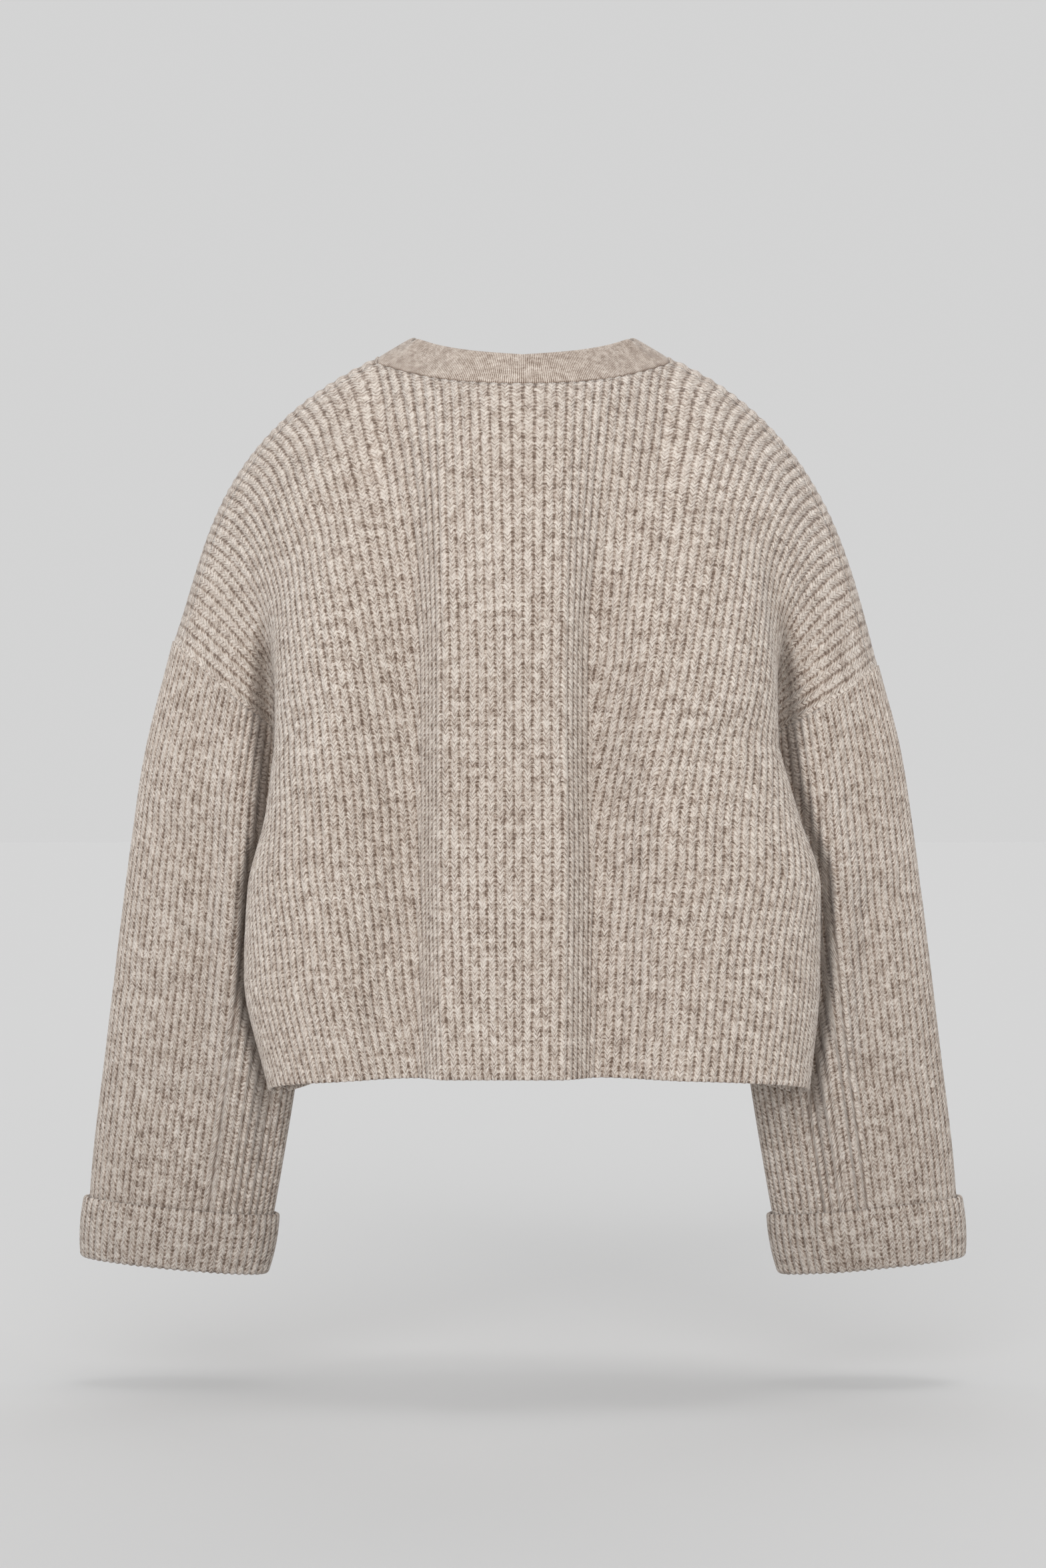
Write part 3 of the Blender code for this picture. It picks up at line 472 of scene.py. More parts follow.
    @staticmethod
    def fold_depth(panel: Panel, x: Array, z: float) -> Array:
        """How far the long troughs sink below the smooth form."""
        depth = np.zeros_like(x)
        for fold in FOLDS[panel].rows:
            low = float(smooth((fold.top - z) / (fold.top - COURSES.rows[0].middle)))
            trough = fold.trough + fold.trough_low * low
            outer_wall = fold.outer_wall + fold.outer_low * low
            inner = smooth((x - fold.inner_wall) / (trough - fold.inner_wall))
            outer = smooth((x - outer_wall) / (trough - outer_wall))
            strength = smooth((fold.top - z) / (fold.top - fold.full))
            depth = np.maximum(depth, fold.depth * strength * np.minimum(inner, outer))
        return depth

    def neck_seam_back(self, wales: Array) -> Array:
        """Where the back meets the neckband."""
        end = self.shoulder_roll(vector(self.neck_wale), 1.0)[0]
        middle = vector(*self.neck_back)
        leave, arrive = middle + vector(*self.nape_leave), end + vector(*self.nape_arrive)
        return bezier(middle, leave, arrive, end, np.clip(wales / self.neck_wale, 0.0, 1.0))

    @staticmethod
    def handles(rows: Table, wales: Array) -> Tuple[Array, Array]:
        """The yoke's two handles, lift and drop, at the given wales."""
        at = rows.at(wales)
        lift = np.stack([at.lift_across, at.lift_y, at.lift_z], axis=1)
        return lift, np.stack([at.drop_across, at.drop_y, at.drop_z], axis=1)

    def back_yoke(self, wales: Array, share: float) -> Array:
        """The back above the underarm course; share runs from 0 there to 1 at the seams."""
        foot = self.section(Panel.BACK, wales, UNDERARM)
        lift, drop = self.handles(BACK_WALES, wales)
        neck = (wales < self.neck_wale)[:, None]
        head = np.where(neck, self.neck_seam_back(wales), self.shoulder_roll(wales, 1.0))
        return bezier(foot, foot + lift, head + drop, head, np.full(len(wales), share))

    def front_yoke(self, wales: Array, share: float) -> Array:
        """A front above the underarm course, over the shoulder line and back to the seam."""
        foot = self.section(Panel.FRONT, wales, UNDERARM)
        lift, drop = self.handles(FRONT_WALES, wales)
        part = share * NECKLINE.at(wales).share
        ridge_share = (RIDGE - UNDERARM) / (1.0 - UNDERARM)
        turn = np.maximum(part - ridge_share, 0.0) / (1.0 - ridge_share)
        ridge = self.shoulder_roll(wales, 0.0)
        climb = bezier(foot, foot + lift, ridge + drop, ridge, np.minimum(part / ridge_share, 1.0))
        return climb + self.shoulder_roll(wales, turn) - ridge

    def row(self, panel: Panel, wales: Array, rise: float) -> Array:
        """Points of one row of a panel at positive wales, with x on the form's own side."""
        if rise <= UNDERARM:
            points = self.section(panel, wales, rise)
        else:
            share = (rise - UNDERARM) / (1.0 - UNDERARM)
            points = (self.front_yoke if panel is Panel.FRONT else self.back_yoke)(wales, share)
        return points * vector(self.side.value, 1.0, 1.0)

    def armhole_loop(self) -> Array:
        """The armhole from the underarm up the back and down the front."""
        edge = np.full(1, HALF_PANEL)
        rises = np.linspace(UNDERARM, 1.0, self.armhole_rows)
        back = [self.row(Panel.BACK, edge, rise)[0] for rise in rises]
        front = [self.row(Panel.FRONT, edge, rise)[0] for rise in rises[-2::-1]]
        return np.array(back + front)


FORMS: Dict[Side, BodyForm] = {side: BodyForm(side) for side in Side}


@dataclass(frozen=True)
class Crevice:
    """The deep dark crease where the sleeve lies against the body's edge, and the swell beside it."""

    depth: float = 0.014
    swell: float = 0.014
    slot_at: Tuple[float, ...] = (0.0, 0.004, 0.006, 0.014)
    swell_at: Tuple[float, ...] = (0.008, 0.018, 0.024, 0.050)

    def shift(self, points: Array) -> Array:
        """How far each point of the outer side moves towards the front.

        Args:
            points: Points of the back or of a sleeve.

        Returns:
            The moves along +Y, negative in the swell.
        """
        z, left = points[..., 2], points[..., 0] < 0.0
        at = CONTACTS.at(z)
        gap = np.abs(points[..., 0]) - np.where(left, at.left, at.right)
        gap = gap / np.where(left, at.width_left, at.width_right)
        slot, rise = (
            smooth((gap - start) / (full - start)) * (1.0 - smooth((gap - fade) / (end - fade)))
            for start, full, fade, end in (self.slot_at, self.swell_at)
        )
        return self.depth * np.where(left, at.depth_left, at.depth_right) * slot - self.swell * at.puff * rise


CREVICE = Crevice()


# --- Cloth shells ---


def grid_faces(rows: int, columns: int, wrap_rows: bool, wrap_columns: bool) -> Tuple[Array, Array]:
    """The faces of a grid.

    Args:
        rows: Its rows.
        columns: Its columns.
        wrap_rows: Whether the last row joins the first.
        wrap_columns: Whether the last column joins the first.

    Returns:
        The row and the column of each face's corners; a wrapped column is one past the last.
    """
    wide, tall = columns - 1 + wrap_columns, rows - 1 + wrap_rows
    r, c = (index.ravel() for index in np.meshgrid(np.arange(tall), np.arange(wide), indexing="ij"))
    return np.stack([r, r, r + 1, r + 1], axis=1) % rows, np.stack([c, c + 1, c + 1, c], axis=1)


@dataclass
class Shell:
    """A closed cloth shell on a grid: outer face, rim, inner face, rim.

    Attributes:
        outer: Outer points, rows by columns.
        inner: Inner points, with the same columns.
        u: Rib count at each outer point, with one more column on a tube, for faces on its right.
        u_left: The same for faces on its left.
        v_outer: Course count at each outer point.
        v_inner: Course count at each inner point.
        kept: The outer rows that the inner rows lie under.
        tube: Whether the columns run all round.
        round_low: Points that round the rim below the first row.
        round_high: Points that round the rim above the last row.
    """

    outer: Array
    inner: Array
    u: Array
    u_left: Array
    v_outer: Array
    v_inner: Array
    kept: Array
    tube: bool = False
    round_low: int = 0
    round_high: int = 0

    @classmethod
    def ribbed(
        cls, form: Array, normal: Array, v: Array, u: Array, u_left: Array, soft: Any, **ends: Any
    ) -> "Shell":
        """A wall with raised ribs outside and shallow ones inside.

        Args:
            form: Its smooth form.
            normal: The outward directions.
            v: Course counts.
            u: Rib counts for faces on the right.
            u_left: Rib counts for faces on the left.
            soft: Share of the ribs' height that is left.
            ends: The shell's tube and rims.

        Returns:
            The shell.
        """
        right, left = u[:, : form.shape[1]], u_left[:, : form.shape[1]]
        raised = RELIEF * soft * (rib_profile(left) + rib_profile(right)) / 2.0
        thick = WALL + INNER_RELIEF * rib_profile(right + 0.5)
        kept = np.unique(np.append(np.arange(0, len(form), 2), len(form) - 1))
        outer, inner = form + normal * raised[..., None], (form - normal * thick[..., None])[kept]
        return cls(outer, inner, u, u_left, v, v[kept], kept, **ends)

    def rim(self, start: Array, end: Array, away: Array, count: int) -> Array:
        """Rows that round a rim.

        Args:
            start: The row the rim leaves.
            end: The row it reaches.
            away: The way out of the cloth's edge at each column.
            count: Number of rows.

        Returns:
            The rows, from start to end.
        """
        middle, half = (start + end) / 2.0, (start - end) / 2.0
        reach = np.linalg.norm(half, axis=-1, keepdims=True) * unit(away)
        angles = math.pi * np.arange(1, count + 1) / (count + 1)
        return np.array([middle + half * math.cos(a) + reach * math.sin(a) for a in angles]).reshape(
            (count,) + start.shape
        )

    def layers(self, outer: Array, inner: Array) -> Array:
        """Values of the outer face, rim, inner face and rim, one under the other."""
        high = np.repeat(outer[-1:], self.round_high, axis=0)
        return np.concatenate([outer, high, inner[::-1], np.repeat(outer[:1], self.round_low, axis=0)])

    def mesh(self, name: str) -> bpy.types.Mesh:
        """The shell as a mesh with its stitch coordinates."""
        high = self.rim(self.outer[-1], self.inner[-1], self.outer[-1] - self.outer[-2], self.round_high)
        low = self.rim(self.inner[0], self.outer[0], self.outer[0] - self.outer[1], self.round_low)
        grid = np.concatenate([self.outer, high, self.inner[::-1], low])
        v = self.layers(self.v_outer, self.v_inner)
        u, u_left = (self.layers(count, count[self.kept]) for count in (self.u, self.u_left))
        rows, columns = grid.shape[:2]
        corner_rows, corner_columns = grid_faces(rows, columns, True, self.tube)
        faces = corner_rows * columns + corner_columns % columns
        first_inner = len(self.outer) + self.round_high
        on_inner = ((corner_rows >= first_inner) & (corner_rows < first_inner + len(self.inner))).all(axis=1)
        on_left = np.array([False, True, True, False])
        rib = np.where(on_left, u_left[corner_rows, corner_columns], u[corner_rows, corner_columns])
        course = v[corner_rows, corner_columns % columns]
        uv = np.stack([rib + 0.5 * on_inner[:, None], course], axis=-1).reshape(-1, 2)
        polygons = faces.tolist()
        if not self.tube:
            for end in (0, columns - 1):
                strip = self.side_faces(end, columns)
                polygons += strip
                edge_uv = [(u[0, end], v[index // columns, end]) for face in strip for index in face]
                uv = np.concatenate([uv, np.array(edge_uv)])
        return make_mesh(name, grid.reshape(-1, 3), polygons, uv)

    def side_faces(self, end: int, columns: int) -> List[List[int]]:
        """Faces that close one side edge.

        Args:
            end: The edge's column.
            columns: The columns of the grid.

        Returns:
            The faces, as lists of vertex numbers.
        """
        top = len(self.outer) - 1
        last = top + self.round_high + len(self.inner)
        steps = enumerate(zip(self.kept, self.kept[1:]))
        faces = [[*range(low, high + 1), last - j - 1, last - j] for j, (low, high) in steps]
        rims = [*range(top, top + self.round_high + 2)], [*range(last, last + self.round_low + 1), 0]
        faces += [rim for rim in rims if len(rim) > 2]
        return [[int(row) * columns + end for row in (face[::-1] if end == 0 else face)] for face in faces]


def make_mesh(name: str, points: Array, polygons: List[List[int]], uv: Optional[Array]) -> bpy.types.Mesh:
    """A smooth mesh whose faces look outwards.

    Args:
        name: The mesh's name.
        points: Its vertices.
        polygons: Its faces.
        uv: Stitch coordinates of every face corner, or None.

    Returns:
        The mesh.
    """
    mesh = bpy.data.meshes.new(name)
    mesh.from_pydata(points.tolist(), [], polygons)
    if uv is not None:
        layer = mesh.uv_layers.new(name="Stitch")
        layer.data.foreach_set("uv", np.asarray(uv, dtype=np.float32).ravel())
    mesh.polygons.foreach_set("use_smooth", [True] * len(mesh.polygons))
    mesh.calc_loop_triangles()
    corners = np.zeros(len(mesh.loop_triangles) * 3, dtype=np.int32)
    mesh.loop_triangles.foreach_get("vertices", corners)
    a, b, c = (points[corners.reshape(-1, 3)[:, k]] for k in range(3))
    if (a * np.cross(b, c)).sum() < 0.0:
        mesh.flip_normals()
    mesh.update()
    return mesh


def grid_normals(points: Array, outward: Array, tube: bool = False) -> Array:
    """Directions square to a grid, on the side that most of the guide is on.

    Args:
        points: The grid.
        outward: Guide directions, one for each point or one for all.
        tube: Whether the columns run all round.

    Returns:
        A unit direction at each point.
    """
    if tube:
        padded = np.concatenate([points[:, -2:], points, points[:, :2]], axis=1)
        across = np.gradient(padded, axis=1)[:, 2:-2]
    else:
        across = np.gradient(points, axis=1)
    normal = unit(np.cross(across, np.gradient(points, axis=0)))
    return normal * np.sign((normal * outward).sum())


def add_object(name: str, data: Any) -> bpy.types.Object:
    """Put an object into the scene."""
    thing = bpy.data.objects.new(name, data)
    bpy.context.scene.collection.objects.link(thing)
    return thing


def add_piece(mesh: bpy.types.Mesh, material: bpy.types.Material, node: str) -> bpy.types.Object:
    """Put a piece into the scene, on the body, in place of its solid.

    Args:
        mesh: Its mesh, by whose name it goes.
        material: Its finish.
        node: The solid it stands for.

    Returns:
        The piece.
    """
    piece = add_object(mesh.name, mesh)
    mesh.materials.append(material)
    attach(piece, "root")
    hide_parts(node)
    return piece


# --- Creases ---


@dataclass(frozen=True)
class Crease:
    """A soft trough (depth > 0) or ridge (depth < 0) along a curved line on a grid.

    Attributes:
        name: What it is.
        line: Its points, in the grid's own flat coordinates in metres.
        width: How far it spreads to each side.
        depth: How far it sinks at its middle.
        samples: Points along its smoothed line.
        smoothing: How many times the line is smoothed.
        end_share: The share of its length, at each end, over which it fades no further.
        fullness: The power of its fading; below 1 it stays deep for longer.
    """

    name: str
    line: Tuple[Tuple[float, float], ...]
    width: float
    depth: float
    samples: int = 41
    smoothing: int = 12
    end_share: float = 0.02
    fullness: float = 0.7

    def sink(self, flat: Array) -> Array:
        """How far it sinks at each flat place, fading towards its ends."""
        knots = np.array(self.line)
        at = np.linspace(0.0, 1.0, len(knots))
        t = np.linspace(0.0, 1.0, self.samples)
        curve = np.stack([np.interp(t, at, knots[:, k]) for k in range(2)], axis=-1)
        for _ in range(self.smoothing):
            curve[1:-1] = (curve[:-2] + 2.0 * curve[1:-1] + curve[2:]) / 4.0
        gap = np.linalg.norm(flat[..., None, :] - curve, axis=-1)
        nearest = gap.argmin(axis=-1)
        inside = np.clip(t[nearest], self.end_share, 1.0 - self.end_share)
        strength = np.sin(math.pi * inside) ** self.fullness
        fall = np.clip(1.0 - (gap.min(axis=-1) / self.width) ** 2, 0.0, 1.0) ** 2
        return self.depth * strength * fall


def dent(form: Array, normal: Array, flat: Array, creases: Iterable[Crease]) -> Array:
    """A form with its creases sunk into it, from its flat coordinates."""
    return form - normal * sum(crease.sink(flat) for crease in creases)[..., None]


def crease(name: str, width: float, depth: float, *line: Tuple[float, float]) -> Crease:
    """A crease with its sizes in millimetres, by its name, width, depth and points."""
    points = tuple((x / PER_METRE, y / PER_METRE) for x, y in line)
    return Crease(name, points, width / PER_METRE, depth / PER_METRE)


BACK_CREASES = (
    crease("left yoke drag", 26, 3, (-205, 330), (-165, 385), (-115, 432), (-88, 470)),
    crease("left yoke drag, upper", 18, 1.6, (-190, 440), (-150, 478), (-112, 500)),
    crease("left flank sag", 22, 1.8, (-196, 235), (-160, 262), (-128, 250)),
    crease("left flank sag, lower", 20, 2, (-172, 105), (-140, 140), (-118, 190)),
    crease("right yoke drag", 30, 2.6, (206, 345), (168, 402), (128, 438)),
    crease("right yoke hollow", 24, 3.4, (52, 300), (66, 352), (92, 420), (104, 470)),
    crease("right flank sag", 24, 2.2, (192, 262), (150, 240), (118, 196)),
    crease("right flank swell", 26, -2.4, (150, 75), (128, 150), (112, 225)),
    crease("middle swell", 34, -3.2, (-22, 30), (-12, 180), (-4, 330), (2, 440)),
    crease("hem ripple, left", 16, 1.8, (-128, 4), (-122, 60)),
    crease("hem ripple, right", 20, 2, (118, 4), (110, 78)),
)
FRONT_CREASES = (
    crease("drag from the left underarm", 24, 3, (-206, 330), (-160, 368), (-112, 372)),
    crease("drag from the right underarm", 28, 2.6, (200, 322), (150, 344), (98, 392)),
    crease("left front trough", 22, 2.8, (-142, 20), (-134, 120), (-120, 235)),
    crease("right front trough", 20, 2.2, (118, 20), (124, 110), (108, 205)),
    crease("right front swell", 24, -2, (176, 40), (168, 160), (150, 250)),
    crease("left front swell", 22, -1.8, (-80, 60), (-78, 190), (-86, 290)),
)
SLEEVE_CREASES = {
    Side.LEFT: (
        crease("elbow, inner", 20, 2.8, (40, 205), (80, 225), (120, 222)),
        crease("elbow, outer", 18, 2, (85, 262), (128, 276), (160, 268)),
        crease("upper arm sag", 22, 1.8, (70, 110), (112, 140), (150, 148)),
        crease("fore-arm slack", 18, 2.2, (55, 340), (98, 352), (136, 342)),
        crease("front elbow", 22, 2.8, (190, 215), (235, 238), (280, 230)),
        crease("front upper arm", 20, 2, (200, 120), (250, 150), (300, 140)),
    ),
    Side.RIGHT: (
        crease("elbow, inner", 18, 2.2, (34, 222), (72, 240), (104, 232)),
        crease("elbow, outer", 22, 2.6, (78, 180), (120, 200), (158, 196)),
        crease("upper arm sag", 18, 1.6, (60, 92), (98, 112), (128, 108)),
        crease("fore-arm slack", 22, 2.4, (70, 318), (118, 336), (150, 330)),
        crease("front elbow", 20, 2.6, (186, 236), (226, 252), (268, 246)),
        crease("front fore-arm", 20, 2, (206, 330), (246, 348), (290, 340)),
    ),
}


# --- Shader maths ---

Number = Union["Value", float]


def operator(operation: str, reflected: bool = False) -> Callable[["Value", Number], "Value"]:
    """An operator that adds a Math node.

    Args:
        operation: The node's operation.
        reflected: Whether the value stands on the operator's right.

    Returns:
        The method.
    """

    def method(value: "Value", other: Number) -> "Value":
        """Join two values by the operation."""
        return value.tree.maths(operation, *((other, value) if reflected else (value, other)))

    return method


@dataclass(frozen=True)
class Value:
    """A socket that takes part in sums."""

    tree: "Shader"
    socket: bpy.types.NodeSocket

    __add__, __radd__ = operator("ADD"), operator("ADD", True)
    __sub__, __rsub__ = operator("SUBTRACT"), operator("SUBTRACT", True)
    __mul__, __rmul__ = operator("MULTIPLY"), operator("MULTIPLY", True)

    def __abs__(self) -> "Value":
        """Size without sign."""
        return self.tree.maths("ABSOLUTE", self)

    def floor(self) -> "Value":
        """Whole part."""
        return self.tree.maths("FLOOR", self)

    def sine(self) -> "Value":
        """Sine, in radians."""
        return self.tree.maths("SINE", self)

    def least(self, other: Number) -> "Value":
        """The smaller of two values."""
        return self.tree.maths("MINIMUM", self, other)

    def ramp(self, low: float, high: float) -> "Value":
        """0 at low and 1 at high, with level ends; low may be the larger."""
        settings = {"interpolation_type": "SMOOTHSTEP", "clamp": True}
        inputs = {"Value": self, "From Min": low, "From Max": high}
        return self.tree.node("ShaderNodeMapRange", settings, inputs)


class Shader:
    """A material's node tree with a Principled shader at its end."""

    def __init__(self, name: str, **constants: Any) -> None:
        """Start a material.

        Args:
            name: Its name.
            constants: Values set on the Principled shader's own sockets, with _ for a space.
        """
        self.material = bpy.data.materials.new(name)
        self.material.use_nodes = True
        self.tree = self.material.node_tree
        self.principled = self.tree.nodes["Principled BSDF"]
        for key, value in constants.items():
            self.principled.inputs[key.replace("_", " ")].default_value = value

    def node(self, kind: str, settings: Dict[str, Any], inputs: Dict[Any, Any], output: Any = 0) -> Value:
        """Add a node.

        Args:
            kind: Its type.
            settings: Properties set first.
            inputs: Values or links for its sockets, by name or number.
            output: The output that is wanted.

        Returns:
            That output.
        """
        made = self.tree.nodes.new(kind)
        for key, value in settings.items():
            setattr(made, key, value)
        for key, value in inputs.items():
            if isinstance(value, Value):
                self.tree.links.new(value.socket, made.inputs[key])
            else:
                made.inputs[key].default_value = value
        return Value(self, made.outputs[output])

    def maths(self, operation: str, *values: Number) -> Value:
        """A Math node."""
        return self.node("ShaderNodeMath", {"operation": operation}, dict(enumerate(values)))

    def mix(self, factor: Number, low: Any, high: Any, blend: str = "MIX") -> Value:
        """Mix two colours.

        Args:
            factor: 0 for low, 1 for high.
            low: A colour or a link.
            high: A colour or a link.
            blend: Blender's name for the way of mixing.

        Returns:
            The mixed colour.
        """
        colours = {6 + k: c if isinstance(c, Value) else (*c, 1.0) for k, c in enumerate((low, high))}
        settings = {"data_type": "RGBA", "blend_type": blend, "clamp_factor": True}
        return self.node("ShaderNodeMix", settings, {0: factor, **colours}, 2)

    def place(self, x: Number, y: Number, z: Number = 0.0) -> Value:
        """A vector from three numbers."""
        return self.node("ShaderNodeCombineXYZ", {}, {0: x, 1: y, 2: z})

    def noise(self, at: Value, scale: float, detail: float = 2.0, roughness: float = 0.5) -> Value:
        """Soft noise between 0 and 1."""
        inputs = {"Vector": at, "Scale": scale, "Detail": detail, "Roughness": roughness}
        return self.node("ShaderNodeTexNoise", {}, inputs, 0)

    def dice(self, at: Value) -> Value:
        """An even chance number for each whole place."""
        return self.node("ShaderNodeTexWhiteNoise", {"noise_dimensions": "3D"}, {"Vector": at}, 0)

    def connect(self, name: str, value: Value) -> None:
        """Link a value to a socket of the Principled shader."""
        self.tree.links.new(value.socket, self.principled.inputs[name])


@dataclass(frozen=True)
class KnitFinish:
    """Marled wool knit: columns of V-shaped stitches, with light legs and painted shade in the gaps between
    the columns.

    Attributes:
        name: The material's name.
        light: Colour of the light fibres.
        shade: Colour between the light and the dark fibres.
        dark: Colour of the dark fibres, and of the painted shade in the gaps.
        slant: How many courses a leg climbs in half the width of its column.
        leg_width: Share of the column's half width that the legs take.
        depth: Height of the bumps.
        rib_light: How light the legs are, from 0 to 1.
        groove_light: How light the bars between the columns are painted; their darkness is painted shade in
            the gaps.
        marl: Strength of the light and dark fibres.
        fade: How much darker the cloth is painted towards the bottom of the sleeves and cuffs: painted shade
            where less light falls low down.
        shade_from: Height at which that starts.
        shade_full: Height at which that is whole.
        seam_shade: How dark the first course is painted along the seam: painted shade where the band meets
            the body.
        seam_courses: The course where that starts, and the one where it is whole.
        marl_shares: Strengths of the fibres, the hairs, the patches and the courses.
        stitch_share: How much one stitch differs from the next.
        bar_share: The same for the bars.
        waver: How far the ribs and the courses wander.
        strand_light: How much lighter a leg's middle is painted than its edges: painted light on the round
            strand.
        strand_shade: How dark a leg's edges are painted: painted shade.
        middle_width: Half width of the painted shade line between two legs.
        middle_shade: How dark that painted shade line is.
        relief_shares: Heights of the legs, the fibres and the hairs in the bumps.
        cloud: The colour that dulls the cloth in large soft clouds.
    """

    name: str
    light: Colour = (0.79, 0.717, 0.647)
    shade: Colour = (0.46, 0.371, 0.307)
    dark: Colour = (0.14, 0.094, 0.068)
    slant: float = 1.45
    leg_width: float = 0.66
    depth: float = 0.0012
    rib_light: float = 0.74
    groove_light: float = 0.40
    marl: float = 1.5
    fade: float = 0.0
    shade_from: float = -0.30
    shade_full: float = -0.69
    seam_shade: float = 0.0
    seam_courses: Tuple[float, float] = (1.8, 0.4)
    marl_shares: Tuple[float, ...] = (1.7, 1.5, 1.0, 0.5)
    stitch_share: float = 0.10
    bar_share: float = 0.30
    waver: Tuple[float, float] = (0.36, 0.8)
    strand_light: float = 0.40
    strand_shade: float = 0.26
    middle_width: float = 0.14
    middle_shade: float = 0.22
    relief_shares: Tuple[float, float, float] = (0.42, 0.40, 0.30)
    cloud: Colour = (0.94, 0.93, 0.92)

    def build(self) -> bpy.types.Material:
        """Make the material."""
        sh = Shader(self.name, Roughness=0.92, Sheen_Weight=0.25, Sheen_Roughness=0.5, Specular_IOR_Level=0.2)
        uv = sh.node("ShaderNodeUVMap", {"uv_map": "Stitch"}, {})
        u_flat = sh.node("ShaderNodeSeparateXYZ", {}, {0: uv}, 0)
        v_flat = sh.node("ShaderNodeSeparateXYZ", {}, {0: uv}, 1)
        u = u_flat + (sh.noise(uv, 0.7, 2.0) - 0.5) * self.waver[0]
        v = v_flat + (sh.noise(sh.place(u_flat * 0.8, v_flat * 0.6, 7.0), 1.0, 2.0) - 0.5) * self.waver[1]
        # A stitch is a V: its two legs climb from the rib's middle to its sides.
        rib = u.floor()
        side = abs(u - rib - 0.5) * 2.0
        leg = v - side.least(self.leg_width) * self.slant
        stitch = leg.floor()
        own = sh.dice(sh.place(rib, stitch, (u - rib).ramp(0.49, 0.51)))
        strand = ((leg - stitch) * math.pi).sine()
        groove = side.ramp(self.leg_width - 0.12, self.leg_width + 0.20)
        middle = side.ramp(self.middle_width, 0.0)
        # Painted light and shade of the stitches: a leg is painted lighter at its middle and darker at its
        # edges, with a painted shade line between two legs and painted shade on the bars in the gaps.
        legs = self.rib_light + strand * self.strand_light - self.strand_shade
        legs = legs - middle * (1.0 - strand) * self.middle_shade
        bars = self.groove_light * strand.ramp(0.25, 1.0) + (own - 0.5) * self.bar_share
        lit = legs * (1.0 - groove) + bars * groove
        # Light and dark fibres follow the legs; patches, courses and clouds lie over many stitches.
        fibre = sh.noise(sh.place(u * 1.8, leg * 4.5, rib * 3.7), 1.0, 3.0, 0.70)
        hair = sh.noise(sh.place(u * 8.0, leg * 10.0, rib * 5.1 + 40.0), 1.0, 2.0, 0.7)
        body = sh.node("ShaderNodeTexCoord", {}, {}, "Object")
        patch = sh.noise(body, 170.0, 3.0, 0.65)
        row = sh.noise(sh.place(u * 0.25, v * 0.7, 3.0), 1.0, 2.0, 0.6)
        cloud = sh.noise(body, 14.0, 2.0, 0.5)
        shares = zip((fibre, hair, patch, row), self.marl_shares)
        first, *others = ((pattern - 0.5) * share for pattern, share in shares)
        tone = lit + sum(others, first) * self.marl + (own - 0.5) * self.stitch_share
        # Painted shade: a dark line is painted along the band's seam edge, where the band meets the body.
        if self.seam_shade > 0.0:
            tone = tone - v_flat.ramp(*self.seam_courses) * self.seam_shade
        colour = sh.mix(tone.ramp(-0.15, 0.50), self.dark, self.shade)
        colour = sh.mix(tone.ramp(0.42, 1.10), colour, self.light)
        colour = sh.mix(cloud.ramp(0.30, 0.70), colour, self.cloud, "MULTIPLY")
        # Painted shade: the cloth is painted darker towards the bottom, for the light that falls off on the
        # lower sleeves and cuffs.
        if self.fade > 0.0:
            height = sh.node("ShaderNodeSeparateXYZ", {}, {0: body}, 2)
            low_shade = height.ramp(self.shade_from, self.shade_full) * self.fade
            colour = sh.mix(low_shade, colour, (0.0, 0.0, 0.0))
        sh.connect("Base Color", colour)
        leg_high, fibre_high, hair_high = self.relief_shares
        relief = strand * leg_high * (1.0 - groove * 0.6) + fibre * fibre_high + hair * hair_high
        bump = {"Strength": 1.0, "Distance": self.depth, "Height": relief}
        sh.connect("Normal", sh.node("ShaderNodeBump", {}, bump))
        return sh.material


@dataclass(frozen=True)
class HornFinish:
    """Polished brown horn with pale streaks."""

    name: str = "brown_horn"
    dark: Colour = (0.07, 0.040, 0.025)
    pale: Colour = (0.34, 0.22, 0.13)

    def build(self) -> bpy.types.Material:
        """Make the material."""
        sh = Shader(self.name, Roughness=0.35, Coat_Weight=0.2, Coat_Roughness=0.2)
        body = sh.node("ShaderNodeTexCoord", {}, {}, "Object")
        stretched = sh.node("ShaderNodeMapping", {}, {"Vector": body, "Scale": (60.0, 60.0, 260.0)})
        streak = sh.noise(stretched, 1.0, 4.0, 0.6)
        sh.connect("Base Color", sh.mix(streak.ramp(0.40, 0.68), self.dark, self.pale))
        sh.connect("Roughness", 0.30 + streak * 0.2)
        return sh.material


# --- Panels ---


